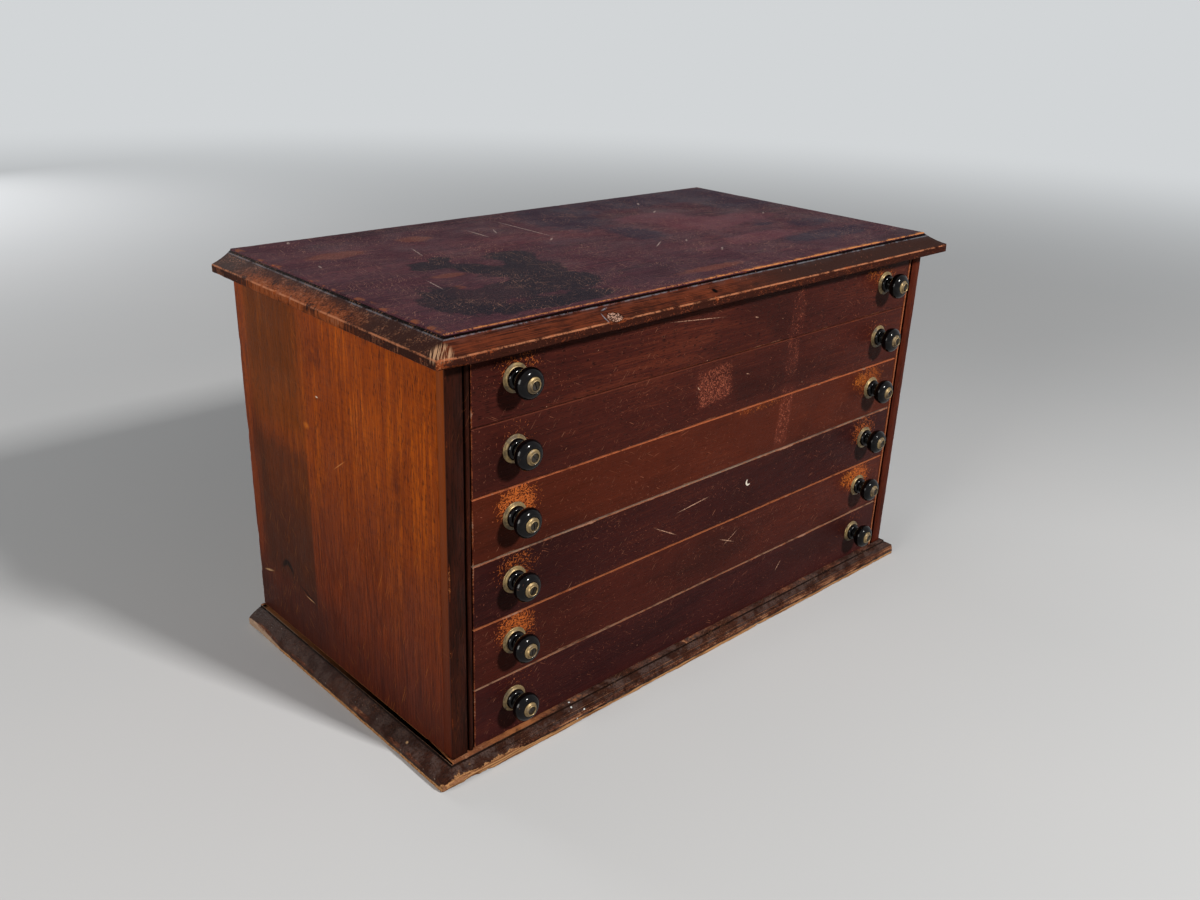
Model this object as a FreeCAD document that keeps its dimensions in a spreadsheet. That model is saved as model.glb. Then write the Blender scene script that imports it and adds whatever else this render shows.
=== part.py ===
import FreeCAD, Part
import os
import re

import Sketcher

# Counter-top spool cabinet: a walnut case with a moulded top and base, and six shallow
# drawers that hang on wooden runners. Millimetres. X runs to the right as seen from the
# front, Y from front to back and Z up. The origin is on the underside of the base, in the
# middle of the case's plan, so the case front is at -case_depth / 2.
# Each drawer is drawn once, in a frame of its own: x = 0 in its middle, y = 0 on the face
# of its front and z = 0 under that front. Copies of it are then placed in the case.

SIZES = {
    # case
    "case_width": 648.0,            # over the two side boards
    "case_depth": 341.0,            # stile face to back edge
    "side_thickness": 19.0,
    "housing_depth": 6.0,           # sides let into the top and the base
    "glue_gap": 0.1,                # room for glue in every housed or dovetailed joint
    "stile_width": 23.0,
    "stile_thickness": 12.0,
    "quirk_width": 2.6,             # groove beside the bead of a stile
    "quirk_depth": 3.0,
    "bead_radius": 2.4,
    # top board
    "top_thickness": 20.0,
    "top_overhang": 19.5,           # past the case at the front and both ends
    "top_lip": 7.7,                 # upright edge under the bevel
    "top_bevel": 19.4,              # from the lip in to the flat field
    "top_step": 1.6,                # small fillet between bevel and field
    "top_hollow": 62.0,             # radius of the slightly hollow bevel
    # base board
    "base_thickness": 19.0,
    "base_overhang": 19.0,          # past the case at both ends
    "base_front_overhang": 13.0,
    "base_nosing": 8.0,             # upright edge under the slope
    "base_ledge": 4.6,              # flat strip around the foot of the case
    "base_step": 2.4,               # drop from that strip to the slope
    "base_round": 48.0,             # radius of the slightly rounded slope
    # back boards
    "back_thickness": 10.0,
    "rabbet_width": 9.0,            # rabbet in each side board for the back
    "tongue_height": 5.0,
    "tongue_thickness": 3.4,
    "board_gap": 0.6,               # room for the back boards to swell
    # drawers
    "front_height": 59.3,
    "front_gap": 1.0,               # between one drawer front and the next
    "front_end_gap": 0.6,           # between a drawer front and a stile
    "front_thickness": 15.0,
    "front_lap": 4.0,               # wood left in front of the dovetails
    "drawer_back_gap": 16.0,        # back of a closed drawer to the back boards
    "box_drop": 7.3,                # top of the front down to the top of its box
    "box_side": 10.0,
    "box_back": 9.0,
    "bottom_thickness": 5.0,
    "bottom_lift": 4.0,             # under edge of the sides to the bottom board
    "groove_depth": 4.0,
    "pin_width": 4.0,               # dovetail pin at its narrow side
    "tail_rake": 1.5,               # how much a tail narrows on each side
    "slat_width": 5.0,
    "slat_height": 12.0,
    "slat_end_gap": 0.5,
    # runners
    "runner_height": 8.0,
    "runner_bite": 5.0,             # how far a runner reaches into a drawer side
    "runner_play": 0.3,             # between a runner and its groove, on every face
    "runner_start": 30.0,           # stile face to the front end of a runner
    "runner_housing": 2.0,          # how far a runner is let into the side board
    # knobs
    "knob_inset": 43.4,             # end of the front to the knob's axis
    "knob_height": 33.0,            # under edge of the front to the knob's axis
    "rose_radius": 12.5,
    "rose_face_radius": 10.6,       # the rose narrows to this at its front
    "rose_thickness": 2.2,
    "foot_radius": 9.4,
    "foot_length": 4.4,             # rose to the waist
    "waist_radius": 6.2,
    "ball_radius": 13.3,
    "ball_back": 8.9,               # waist to the start of the widest band
    "ball_band": 3.4,
    "ball_front": 4.4,              # end of the widest band to the flat under the cap
    "ball_flat_radius": 8.5,
    "cap_radius": 7.4,
    "cap_height": 2.9,
    # room that a cutting tool takes past the wood
    "cut_margin": 4.0,
}
DRAWERS = 6
BACK_BOARDS = 3
TAILS = 2
SLATS = 9

doc = FreeCAD.newDocument("SpoolCabinet")
sheet = doc.addObject("Spreadsheet::Sheet", "Sizes")
for row, (alias, value) in enumerate(SIZES.items(), start=1):
    sheet.set(f"A{row}", alias)
    sheet.set(f"B{row}", str(value))
    sheet.setAlias(f"B{row}", alias)
doc.recompute()

# Lengths that follow from the sizes, as formulas.
FRONT = "(-case_depth / 2)"
BACK = "(case_depth / 2)"
HALF_CASE = "(case_width / 2)"
HALF_INSIDE = "(case_width / 2 - side_thickness)"
HALF_DRAWER = "(case_width / 2 - stile_width - front_end_gap)"
HALF_BOX_INSIDE = f"({HALF_DRAWER} - box_side)"
DRAWER_PITCH = "(front_height + front_gap)"
CASE_HEIGHT = f"({DRAWERS} * {DRAWER_PITCH} + front_gap)"
TOP_LEVEL = f"(base_thickness + {CASE_HEIGHT})"
BACK_BOARD = f"(({CASE_HEIGHT} - {BACK_BOARDS + 1} * board_gap) / {BACK_BOARDS})"
RUNNER_TIP = f"({HALF_DRAWER} - runner_bite)"
DRAWER_LENGTH = "(case_depth - back_thickness - drawer_back_gap)"
BOX_HEIGHT = "(front_height - box_drop)"
TAIL_WIDTH = f"({BOX_HEIGHT} / {TAILS} - pin_width)"
RUNNER_LEVEL = f"({BOX_HEIGHT} - (pin_width + {TAIL_WIDTH} + runner_height) / 2)"
BOTTOM_TOP = "(bottom_lift + bottom_thickness)"
BOX_BACK_FACE = f"({DRAWER_LENGTH} - box_back)"
KNOB_PLACE = f"({HALF_DRAWER} - knob_inset)"
WAIST_LEVEL = "(rose_thickness + foot_length)"
BAND_LEVEL = f"({WAIST_LEVEL} + ball_back)"
CAP_LEVEL = f"({BAND_LEVEL} + ball_band + ball_front)"


def expression(formula):
    """The formula with each plain size name turned into a reference to the sheet."""
    return re.sub(r"[a-z_]+", lambda word: f"Sizes.{word.group()}", str(formula))


def value_of(formula):
    return float(sheet.evalExpression(expression(formula)))


def bind(thing, formulas):
    for name, formula in formulas.items():
        thing.setExpression(name, expression(formula))
    return thing


def place(thing, x=0, y=0, z=0):
    return bind(thing, {"Placement.Base.x": x, "Placement.Base.y": y, "Placement.Base.z": z})


# ---- sketches, and the features that stand on them

def new_body(name):
    return doc.addObject("PartDesign::Body", name)


def origin_plane(body, role):
    return [item for item in body.Origin.OriginFeatures if item.Role == role][0]


def new_sketch(body, role, offset=0):
    """A sketch on a plane of the body's origin, moved by offset along the plane's normal.
    The normal is +Z for XY_Plane, -Y for XZ_Plane and +X for YZ_Plane."""
    sketch = body.newObject("Sketcher::SketchObject", f"{body.Name}_sketch")
    sketch.AttachmentSupport = [(origin_plane(body, role), "")]
    sketch.MapMode = "FlatFace"
    return bind(sketch, {"AttachmentOffset.Base.z": offset})


def constrain(sketch, kind, edge, end, formula):
    """A named dimension of one end of an edge, or of a whole round edge, tied to a formula."""
    name = f"{kind}_{edge}"
    if kind == "Radius":
        constraint = Sketcher.Constraint(kind, edge, value_of(formula))
    else:
        constraint = Sketcher.Constraint(kind, -1, 1, edge, end, value_of(formula))
    index = sketch.addConstraint(constraint)
    sketch.renameConstraint(index, name)
    bind(sketch, {f"Constraints.{name}": formula})


def add_arc(sketch, start, end, radius, turn):
    """The shorter arc from start to end, turn 1 for anticlockwise and -1 for clockwise.
    Returns which of its ends, 1 or 2, is the start, because an arc is kept anticlockwise."""
    chord = end - start
    rise = radius - (radius ** 2 - (chord.Length / 2) ** 2) ** 0.5
    outward = FreeCAD.Vector(chord.y, -chord.x, 0).normalize() * turn
    middle = (start + end) / 2 + outward * rise
    if turn == 1:
        sketch.addGeometry(Part.Arc(start, middle, end))
        return 1
    sketch.addGeometry(Part.Arc(end, middle, start))
    return 2


def draw(sketch, corners):
    """Close an outline through corners. Each is (x, y), or (x, y, radius, turn) where an arc
    arrives at it. Every corner and radius is a dimension tied to its formula."""
    first = sketch.GeometryCount
    count = len(corners)
    points = [FreeCAD.Vector(value_of(corner[0]), value_of(corner[1]), 0) for corner in corners]
    starts = []
    for index, start in enumerate(points):
        arrival = corners[(index + 1) % count]
        end = points[(index + 1) % count]
        if len(arrival) == 2:
            sketch.addGeometry(Part.LineSegment(start, end))
            starts.append(1)
        else:
            starts.append(add_arc(sketch, start, end, value_of(arrival[2]), arrival[3]))
    for index, corner in enumerate(corners):
        edge = first + index
        previous = first + (index - 1) % count
        joint = Sketcher.Constraint("Coincident", previous, 3 - starts[index - 1], edge, starts[index])
        sketch.addConstraint(joint)
        constrain(sketch, "DistanceX", edge, starts[index], corner[0])
        constrain(sketch, "DistanceY", edge, starts[index], corner[1])
        if len(corner) > 2:
            constrain(sketch, "Radius", previous, None, corner[2])


def rectangle(left, low, right, high):
    return [(left, low), (right, low), (right, high), (left, high)]


def add_feature(body, kind, sketch, length, onward, both):
    """A Pad or Pocket of the sketch. onward is True along the plane's normal; both spreads
    the length evenly to both sides of the plane."""
    feature = body.newObject(f"PartDesign::{kind}", f"{body.Name}_{kind.lower()}")
    feature.Profile = sketch
    feature.SideType = "Symmetric" if both else "One side"
    feature.Reversed = onward == (kind == "Pocket")
    bind(feature, {"Length": length})
    return feature


def pad(body, sketch, length, onward=True, both=False):
    return add_feature(body, "Pad", sketch, length, onward, both)


def pocket(body, sketch, length, onward=False, both=False):
    """Takes wood away, and stops the build where the tool misses it."""
    doc.recompute()
    before = body.Shape.Volume
    feature = add_feature(body, "Pocket", sketch, length, onward, both)
    doc.recompute()
    if body.Shape.Volume >= before:
        raise RuntimeError(f"{feature.Name} takes nothing away")
    return feature


def mirror_feature(body, feature):
    """The same feature again at the other end of the body, across its YZ plane."""
    mirrored = body.newObject("PartDesign::Mirrored", f"{feature.Name}_mirrored")
    mirrored.Originals = [feature]
    mirrored.MirrorPlane = (origin_plane(body, "YZ_Plane"), [""])
    body.Tip = mirrored


def turn_body(name, corners):
    """A turned body, from its outline as (radius, distance in front of the drawer)."""
    body = new_body(name)
    sketch = new_sketch(body, "XY_Plane")
    draw(sketch, [(radius, f"-({level})") for radius, level in corners])
    spin = body.newObject("PartDesign::Revolution", f"{name}_revolution")
    spin.Profile = sketch
    spin.ReferenceAxis = (sketch, ["V_Axis"])
    spin.Angle = 360
    return body


# ---- whole boards, copies and groups

def board(name, low, high):
    """A plain board between two corners, each three formulas."""
    box = doc.addObject("Part::Box", name)
    sides = [f"({far}) - ({near})" for near, far in zip(low, high)]
    bind(box, dict(zip(("Length", "Width", "Height"), sides)))
    return place(box, *low)


def group(name, items):
    bundle = doc.addObject("Part::Compound", name)
    bundle.Links = items
    return bundle


def copy_at(name, source, x=0, y=0, z=0):
    return place(group(name, [source]), x, y, z)


def mirror(name, source):
    """The right-hand twin of a left-hand piece."""
    twin = doc.addObject("Part::Mirroring", name)
    twin.Source = source
    twin.Normal = FreeCAD.Vector(1, 0, 0)
    return twin


def drawer_level(number):
    """Height of the under edge of a drawer front, drawer 1 being the top one."""
    return f"(base_thickness + front_gap + {DRAWERS - number} * {DRAWER_PITCH})"


# ---- top and base: boards moulded on the front and both ends, square at the back

def top_edge(overhang):
    """The top's moulding as (run in from the edge, height): lip, hollow bevel, small step."""
    return [(0, "top_lip"),
            ("top_bevel", "top_thickness - top_step", "top_hollow", -1),
            ("top_bevel", "top_thickness")]


def base_edge(overhang):
    """The base's moulding: nosing, rounded slope, then a step up to the ledge round the case."""
    return [(0, "base_nosing"),
            (f"({overhang} - base_ledge)", "base_thickness - base_step", "base_round", 1),
            (f"({overhang} - base_ledge)", "base_thickness")]


def reverse(moulding):
    """The same moulding met from the field outwards."""
    arcs = [corner[2:] for corner in moulding[1:]] + [()]
    return [(run, height, *arc) for (run, height, *_), arc in zip(moulding, arcs)][::-1]


def moulded_board(name, moulding, overhang, front_overhang, thickness):
    body = new_body(name)
    half = f"({HALF_CASE} + {overhang})"
    edge = f"({FRONT} - {front_overhang})"
    right = [(f"{half} - {run}", height, *arc) for run, height, *arc in moulding(overhang)]
    left = [(f"{run} - {half}", height, *arc) for run, height, *arc in reverse(moulding(overhang))]
    ends = new_sketch(body, "XZ_Plane", f"-{BACK}")
    draw(ends, [(f"-{half}", 0), (half, 0)] + right + left)
    pad(body, ends, f"case_depth + {front_overhang}")

    face = [(f"{edge} + {run}", height, *arc) for run, height, *arc in reverse(moulding(front_overhang))]
    outside, above = f"{edge} - cut_margin", f"{thickness} + cut_margin"
    lip_height = moulding(front_overhang)[0][1]
    waste = [(outside, lip_height), (outside, above), (face[0][0], above)] + face[1:]
    front = new_sketch(body, "YZ_Plane")
    draw(front, waste)
    pocket(body, front, f"2 * ({half} + cut_margin)", both=True)
    return body


def cut_housings(body, level, onward):
    """The two grooves that take the ends of the side boards. They stop behind the stiles."""
    sketch = new_sketch(body, "XY_Plane", level)
    near, far = f"({HALF_INSIDE} - glue_gap)", f"({HALF_CASE} + glue_gap)"
    start, end = f"{FRONT} + stile_thickness - glue_gap", f"{BACK} + cut_margin"
    draw(sketch, rectangle(near, start, far, end))
    draw(sketch, rectangle(f"-{far}", start, f"-{near}", end))
    pocket(body, sketch, "housing_depth", onward)


def make_top_board():
    body = moulded_board("top_board", top_edge, "top_overhang", "top_overhang", "top_thickness")
    cut_housings(body, 0, True)
    return place(body, z=TOP_LEVEL)


def make_base_board():
    body = moulded_board("base_board", base_edge, "base_overhang", "base_front_overhang",
                         "base_thickness")
    cut_housings(body, "base_thickness", False)
    return body


# ---- the rest of the case

def make_side(levels):
    """The left side board, rabbeted for the back and grooved across for every runner."""
    body = new_body("case_side_left")
    front = f"{FRONT} + stile_thickness"
    foot = "base_thickness - housing_depth + glue_gap"
    height = f"{CASE_HEIGHT} + 2 * (housing_depth - glue_gap)"
    plan = new_sketch(body, "XY_Plane", foot)
    draw(plan, rectangle(f"-{HALF_CASE}", front, f"-{HALF_INSIDE}", BACK))
    pad(body, plan, height)

    rabbet = new_sketch(body, "XY_Plane", "base_thickness")
    draw(rabbet, rectangle(f"-({HALF_INSIDE} + rabbet_width)", f"{BACK} - back_thickness - glue_gap",
                           f"-{HALF_INSIDE} + cut_margin", f"{BACK} + cut_margin"))
    pocket(body, rabbet, CASE_HEIGHT, onward=True)

    inside = new_sketch(body, "YZ_Plane", f"-{HALF_INSIDE}")
    for level in levels:
        low = f"{level} + {RUNNER_LEVEL}"
        draw(inside, rectangle(f"{FRONT} + runner_start - glue_gap", f"{low} - glue_gap",
                               f"{BACK} - back_thickness", f"{low} + runner_height + glue_gap"))
    pocket(body, inside, "runner_housing + glue_gap")
    return body


def make_runner():
    """The left runner of a drawer whose level is 0, glued into its groove in the side board."""
    return board("runner", (f"-({HALF_INSIDE} + runner_housing)", f"{FRONT} + runner_start", RUNNER_LEVEL),
                 (f"-{RUNNER_TIP}", f"{BACK} - back_thickness - glue_gap",
                  f"{RUNNER_LEVEL} + runner_height"))


def make_stile():
    """The left stile, drawn in plan: a flat strip, a quirk and a bead beside the drawers."""
    inner = f"(stile_width - {HALF_CASE})"
    bead = f"({inner} - 2 * bead_radius)"
    flat = f"({bead} - quirk_width)"
    bottom, crest = f"{FRONT} + quirk_depth", f"{FRONT} + bead_radius"
    back = f"{FRONT} + stile_thickness"
    body = new_body("stile_left")
    sketch = new_sketch(body, "XY_Plane", "base_thickness")
    draw(sketch, [(f"-{HALF_CASE}", FRONT), (flat, FRONT), (flat, bottom), (bead, bottom),
                  (bead, crest),
                  (f"{bead} + bead_radius", FRONT, "bead_radius", 1),
                  (inner, crest, "bead_radius", 1),
                  (inner, back), (f"-{HALF_CASE}", back)])
    pad(body, sketch, CASE_HEIGHT)
    return body


def make_back_board(name, index):
    """A back board in section, tongued on top and grooved underneath where a board adjoins."""
    front, half_tongue = f"({BACK} - back_thickness)", "tongue_thickness / 2"
    middle = f"({BACK} - back_thickness / 2)"
    outline = [(front, 0)]
    if index > 0:
        room, depth = f"({half_tongue} + glue_gap)", "tongue_height"
        outline += [(f"{middle} - {room}", 0), (f"{middle} - {room}", depth),
                    (f"{middle} + {room}", depth), (f"{middle} + {room}", 0)]
    outline += [(BACK, 0), (BACK, BACK_BOARD)]
    if index < BACK_BOARDS - 1:
        tip = f"{BACK_BOARD} + tongue_height"
        outline += [(f"{middle} + {half_tongue}", BACK_BOARD), (f"{middle} + {half_tongue}", tip),
                    (f"{middle} - {half_tongue}", tip), (f"{middle} - {half_tongue}", BACK_BOARD)]
    outline += [(front, BACK_BOARD)]
    body = new_body(name)
    sketch = new_sketch(body, "YZ_Plane")
    draw(sketch, outline)
    pad(body, sketch, f"2 * ({HALF_INSIDE} + rabbet_width - glue_gap)", both=True)
    return place(body, z=f"base_thickness + board_gap + {index} * ({BACK_BOARD} + board_gap)")


# ---- drawer: dovetailed box behind a lapped front

def tail_foot(number):
    """Lower edge of a dovetail at its wide end, tail 0 being the lowest."""
    return f"(pin_width / 2 + {number} * ({TAIL_WIDTH} + pin_width))"


def tail_corners(number, root, tip):
    """The four corners of a tail met from below, as (distance back, height)."""
    foot, head = tail_foot(number), f"({tail_foot(number)} + {TAIL_WIDTH})"
    return [(root, f"{foot} + tail_rake"), (tip, foot), (tip, head), (root, f"{head} - tail_rake")]


def make_drawer_front():
    """The front with its dovetail sockets and the groove for the bottom."""
    body = new_body("front")
    face = new_sketch(body, "XZ_Plane")
    draw(face, rectangle(f"-{HALF_DRAWER}", 0, HALF_DRAWER, "front_height"))
    pad(body, face, "front_thickness", onward=False)

    end = new_sketch(body, "YZ_Plane", HALF_DRAWER)
    root, tip = "front_thickness + glue_gap", "front_lap - glue_gap"
    for number in range(TAILS):
        low_root, low_tip, high_tip, high_root = tail_corners(number, root, tip)
        draw(end, [(low_root[0], f"{low_root[1]} - glue_gap"), (low_tip[0], f"{low_tip[1]} - glue_gap"),
                   (high_tip[0], f"{high_tip[1]} + glue_gap"), (high_root[0], f"{high_root[1]} + glue_gap")])
    sockets = pocket(body, end, "box_side + glue_gap")
    mirror_feature(body, sockets)

    inside = new_sketch(body, "XZ_Plane", "-front_thickness")
    half = f"({HALF_BOX_INSIDE} + groove_depth)"
    draw(inside, rectangle(f"-{half}", "bottom_lift - glue_gap", half, f"{BOTTOM_TOP} + glue_gap"))
    pocket(body, inside, "groove_depth", onward=True)
    return body


def make_drawer_side():
    """The left side: tails at both ends, a groove inside for the bottom and a stopped groove
    outside for the runner, whose closed end stops the drawer when its front is flush."""
    body = new_body("side_left")
    outline = [("front_thickness", 0)]
    for number in range(TAILS):
        outline += tail_corners(number, "front_thickness", "front_lap")
    outline += [("front_thickness", BOX_HEIGHT), (BOX_BACK_FACE, BOX_HEIGHT)]
    for number in reversed(range(TAILS)):
        outline += tail_corners(number, BOX_BACK_FACE, DRAWER_LENGTH)[::-1]
    outline = outline[:-2] + [(DRAWER_LENGTH, 0)]
    profile = new_sketch(body, "YZ_Plane", f"-{HALF_DRAWER}")
    draw(profile, outline)
    pad(body, profile, "box_side")

    groove = new_sketch(body, "XZ_Plane", "cut_margin")
    draw(groove, rectangle(f"-{HALF_BOX_INSIDE} - groove_depth", "bottom_lift - glue_gap",
                           f"-{HALF_BOX_INSIDE} + cut_margin", f"{BOTTOM_TOP} + glue_gap"))
    pocket(body, groove, f"{DRAWER_LENGTH} + 2 * cut_margin")

    track = new_sketch(body, "YZ_Plane", f"-{HALF_DRAWER}")
    draw(track, rectangle("runner_start - runner_play", f"{RUNNER_LEVEL} - runner_play",
                          f"{DRAWER_LENGTH} + cut_margin",
                          f"{RUNNER_LEVEL} + runner_height + runner_play"))
    pocket(body, track, "runner_bite + runner_play", onward=True)
    return body


def make_drawer_back():
    """The back stands on the bottom board, with pins between the tails of both sides."""
    body = new_body("back")
    foot = f"{BOTTOM_TOP} + glue_gap"
    middle = new_sketch(body, "YZ_Plane")
    draw(middle, rectangle(BOX_BACK_FACE, foot, DRAWER_LENGTH, BOX_HEIGHT))
    pad(body, middle, f"2 * {HALF_BOX_INSIDE}", both=True)

    pins = new_sketch(body, "YZ_Plane", HALF_BOX_INSIDE)
    for number in range(TAILS):
        low_tip, low_root = tail_corners(number, BOX_BACK_FACE, DRAWER_LENGTH)[2:]
        low = [(low_tip[0], f"{low_tip[1]} + glue_gap"), (low_root[0], f"{low_root[1]} + glue_gap")]
        if number == TAILS - 1:
            high = [(BOX_BACK_FACE, BOX_HEIGHT), (DRAWER_LENGTH, BOX_HEIGHT)]
        else:
            high_root, high_tip = tail_corners(number + 1, BOX_BACK_FACE, DRAWER_LENGTH)[:2]
            high = [(high_root[0], f"{high_root[1]} - glue_gap"),
                    (high_tip[0], f"{high_tip[1]} - glue_gap")]
        draw(pins, low + high)
    mirror_feature(body, pad(body, pins, "box_side"))
    return body


def make_drawer_bottom():
    half = f"({HALF_BOX_INSIDE} + groove_depth - glue_gap)"
    return board("bottom", (f"-{half}", "front_thickness - groove_depth + glue_gap", "bottom_lift"),
                 (half, DRAWER_LENGTH, BOTTOM_TOP))


def make_slats():
    """Slats on the bottom board that keep the spools in rows."""
    slat = board("slat", ("-slat_width / 2", "front_thickness + slat_end_gap", 0),
                 ("slat_width / 2", f"{BOX_BACK_FACE} - slat_end_gap", "slat_height"))
    spacing = f"(2 * {HALF_BOX_INSIDE} / {SLATS + 1})"
    steps = [number - (SLATS - 1) / 2 for number in range(SLATS)]
    return group("slats", [copy_at("slat_copy", slat, f"{step} * {spacing}", 0, BOTTOM_TOP)
                           for step in steps])


# ---- knob: turned wood between a brass rose on the drawer and a brass cap

def make_rose():
    return turn_body("rose", [(0, 0), ("rose_radius", 0),
                              ("rose_face_radius", "rose_thickness"), (0, "rose_thickness")])


def make_knob_wood():
    """A foot that flares to the rose, a waist, and a ball with a flat for the cap."""
    return turn_body("knob_wood", [(0, "rose_thickness"), ("foot_radius", "rose_thickness"),
                                   ("waist_radius", WAIST_LEVEL), ("ball_radius", BAND_LEVEL),
                                   ("ball_radius", f"{BAND_LEVEL} + ball_band"),
                                   ("ball_flat_radius", CAP_LEVEL), (0, CAP_LEVEL)])


def make_cap():
    front = f"{CAP_LEVEL} + cap_height"
    return turn_body("cap", [(0, CAP_LEVEL), ("cap_radius", CAP_LEVEL), ("cap_radius", front),
                             (0, front)])


def knob_pair(name, items):
    """Both knobs of one drawer, or both sets of their brass."""
    return group(name, [copy_at(f"{item.Name}_copy", item, f"{side}{KNOB_PLACE}", 0, "knob_height")
                        for side in ("-", "") for item in items])


# ---- the cabinet

def make_case():
    levels = [drawer_level(number) for number in range(1, DRAWERS + 1)]
    side, stile, runner = make_side(levels), make_stile(), make_runner()
    runners = group("runners_left", [copy_at("runner_copy", runner, 0, 0, level) for level in levels])
    pieces = {
        "top_board": make_top_board(),
        "base_board": make_base_board(),
        "case_side_left": side,
        "case_side_right": mirror("case_side_right", side),
        "stile_left": stile,
        "stile_right": mirror("stile_right", stile),
        "runners_left": runners,
        "runners_right": mirror("runners_right", runners),
    }
    for index, level in enumerate(("lower", "middle", "upper")):
        pieces[f"back_board_{level}"] = make_back_board(f"back_board_{level}", index)
    return pieces


def make_drawer_pieces():
    side = make_drawer_side()
    return {
        "front": make_drawer_front(),
        "side_left": side,
        "side_right": mirror("side_right", side),
        "back": make_drawer_back(),
        "bottom": make_drawer_bottom(),
        "dividers": make_slats(),
        "knobs": knob_pair("knobs", [make_knob_wood()]),
        "knob_brass": knob_pair("knob_brass", [make_rose(), make_cap()]),
    }


def check_document():
    doc.recompute()
    for thing in doc.Objects:
        if "Invalid" in thing.State or "Error" in thing.State:
            raise RuntimeError(f"{thing.Name} failed: {thing.State}")


def write(label, thing):
    """Label a sub-part and write its shape to a file of the same name."""
    thing.Label = label
    shape = thing.Shape
    if shape.isNull() or not shape.isValid() or not shape.Solids:
        raise RuntimeError(f"{label} has no sound shape")
    shape.exportStep(os.path.join("parts", f"{label}.step"))


cabinet = make_case()
drawer_pieces = make_drawer_pieces()
for drawer in range(1, DRAWERS + 1):
    for piece_name, piece in drawer_pieces.items():
        piece_label = f"drawer_{drawer}_{piece_name}"
        cabinet[piece_label] = copy_at(piece_label, piece, 0, FRONT, drawer_level(drawer))
check_document()
os.makedirs("parts", exist_ok=True)
for piece_label, piece in cabinet.items():
    write(piece_label, piece)
print(f"{len(cabinet)} sub-parts written")
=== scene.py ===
import math

import bmesh
import bpy
import numpy as np
from mathutils import Matrix, Vector


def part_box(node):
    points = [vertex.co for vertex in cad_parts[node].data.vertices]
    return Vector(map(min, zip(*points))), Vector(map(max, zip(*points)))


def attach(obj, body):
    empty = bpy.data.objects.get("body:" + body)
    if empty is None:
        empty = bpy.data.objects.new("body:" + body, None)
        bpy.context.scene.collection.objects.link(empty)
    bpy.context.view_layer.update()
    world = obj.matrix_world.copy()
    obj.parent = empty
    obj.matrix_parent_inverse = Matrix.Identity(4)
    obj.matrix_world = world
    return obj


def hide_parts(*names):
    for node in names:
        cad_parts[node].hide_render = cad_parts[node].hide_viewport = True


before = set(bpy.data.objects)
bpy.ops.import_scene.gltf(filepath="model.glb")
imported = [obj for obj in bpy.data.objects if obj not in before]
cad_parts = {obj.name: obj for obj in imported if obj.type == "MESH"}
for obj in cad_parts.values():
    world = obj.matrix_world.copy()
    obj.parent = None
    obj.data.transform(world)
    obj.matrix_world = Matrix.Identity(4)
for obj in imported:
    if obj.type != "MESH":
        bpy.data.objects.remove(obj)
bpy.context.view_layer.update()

# ---- Base board -----------------------------------------------------------------------
# One walnut board under the case, its front and both ends run with a nosing, a rounded
# slope and a small step; the case's sides are housed in it. It has been pushed along
# counters for years, so its nosing is ragged and its arrises are bare.

MM = 0.001
X, Y, Z = range(3)
INSETS = (0.3 * MM, 0.7 * MM, 1.3 * MM, 2.2 * MM, 4.0 * MM)


def clean_copy(node):
    """A CAD node's mesh, welded and with its flat faces made whole again."""
    shape = bmesh.new()
    shape.from_mesh(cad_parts[node].data)
    bmesh.ops.remove_doubles(shape, verts=shape.verts, dist=0.001 * MM)
    bmesh.ops.dissolve_limit(shape, angle_limit=math.radians(0.5), verts=shape.verts,
                             edges=shape.edges)
    bmesh.ops.recalc_face_normals(shape, faces=shape.faces)
    return shape


def rim(low, high):
    """Places to cut near both faces of a board, so that its arrises can be rubbed down."""
    return [low + step for step in INSETS] + [high - step for step in INSETS]


def slice_across(shape, axis, places):
    """Cuts the faces along planes square to an axis, and takes nothing away."""
    normal = Vector([float(axis == index) for index in range(3)])
    for place in places:
        bmesh.ops.bisect_plane(shape, geom=shape.verts[:] + shape.edges[:] + shape.faces[:],
                               plane_co=normal * place, plane_no=normal, dist=0.01 * MM)


def divide_along(shape, axis, shortest, step):
    """Divides the long edges that run along an axis near the outside of a board, so that wear
    can vary along them."""
    places = np.array([vert.co for vert in shape.verts])
    low, high = places.min(axis=0) + 30 * MM, places.max(axis=0) - 30 * MM
    long_edges = []
    for edge in shape.edges:
        run = edge.verts[1].co - edge.verts[0].co
        middle = (edge.verts[1].co + edge.verts[0].co) / 2
        outside = any(not low[index] < middle[index] < high[index] for index in range(2)
                      if index != axis)
        if abs(run[axis]) > shortest and abs(run[axis]) > 0.97 * run.length and outside:
            long_edges.append(edge)
    bmesh.ops.subdivide_edges(shape, edges=long_edges, cuts=int(np.ptp(places[:, axis]) / step),
                              use_grid_fill=True)


def wave(along, step, seed):
    """Random heights from 0 to 1, one every step along an edge, joined by lines."""
    count = int(np.ptp(along) / step) + 3
    knots = np.random.RandomState(seed).rand(count)
    return np.interp((along - along.min()) / step, np.arange(count), knots)


def worn_depth(along, rub, chip, seed):
    """How much of an arris is gone: rubbed a little everywhere, chipped here and there."""
    ripple = 0.4 + 0.7 * wave(along, 0.021, seed) + 0.5 * wave(along, 0.006, seed + 1)
    notch = np.clip(wave(along, 0.012, seed + 2) * 3.2 - 2.2, 0, 1)
    notch *= 0.5 + 0.5 * wave(along, 0.003, seed + 3)
    notch *= np.clip(wave(along, 0.08, seed + 4) * 2.2 - 0.5, 0, 1)
    return rub * ripple + chip * notch


def on_face(normal, first, second, level):
    """Three numbers out of the two that lie in a face and the one along its normal."""
    found = [first, second]
    found.insert(normal, level)
    return found


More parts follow.
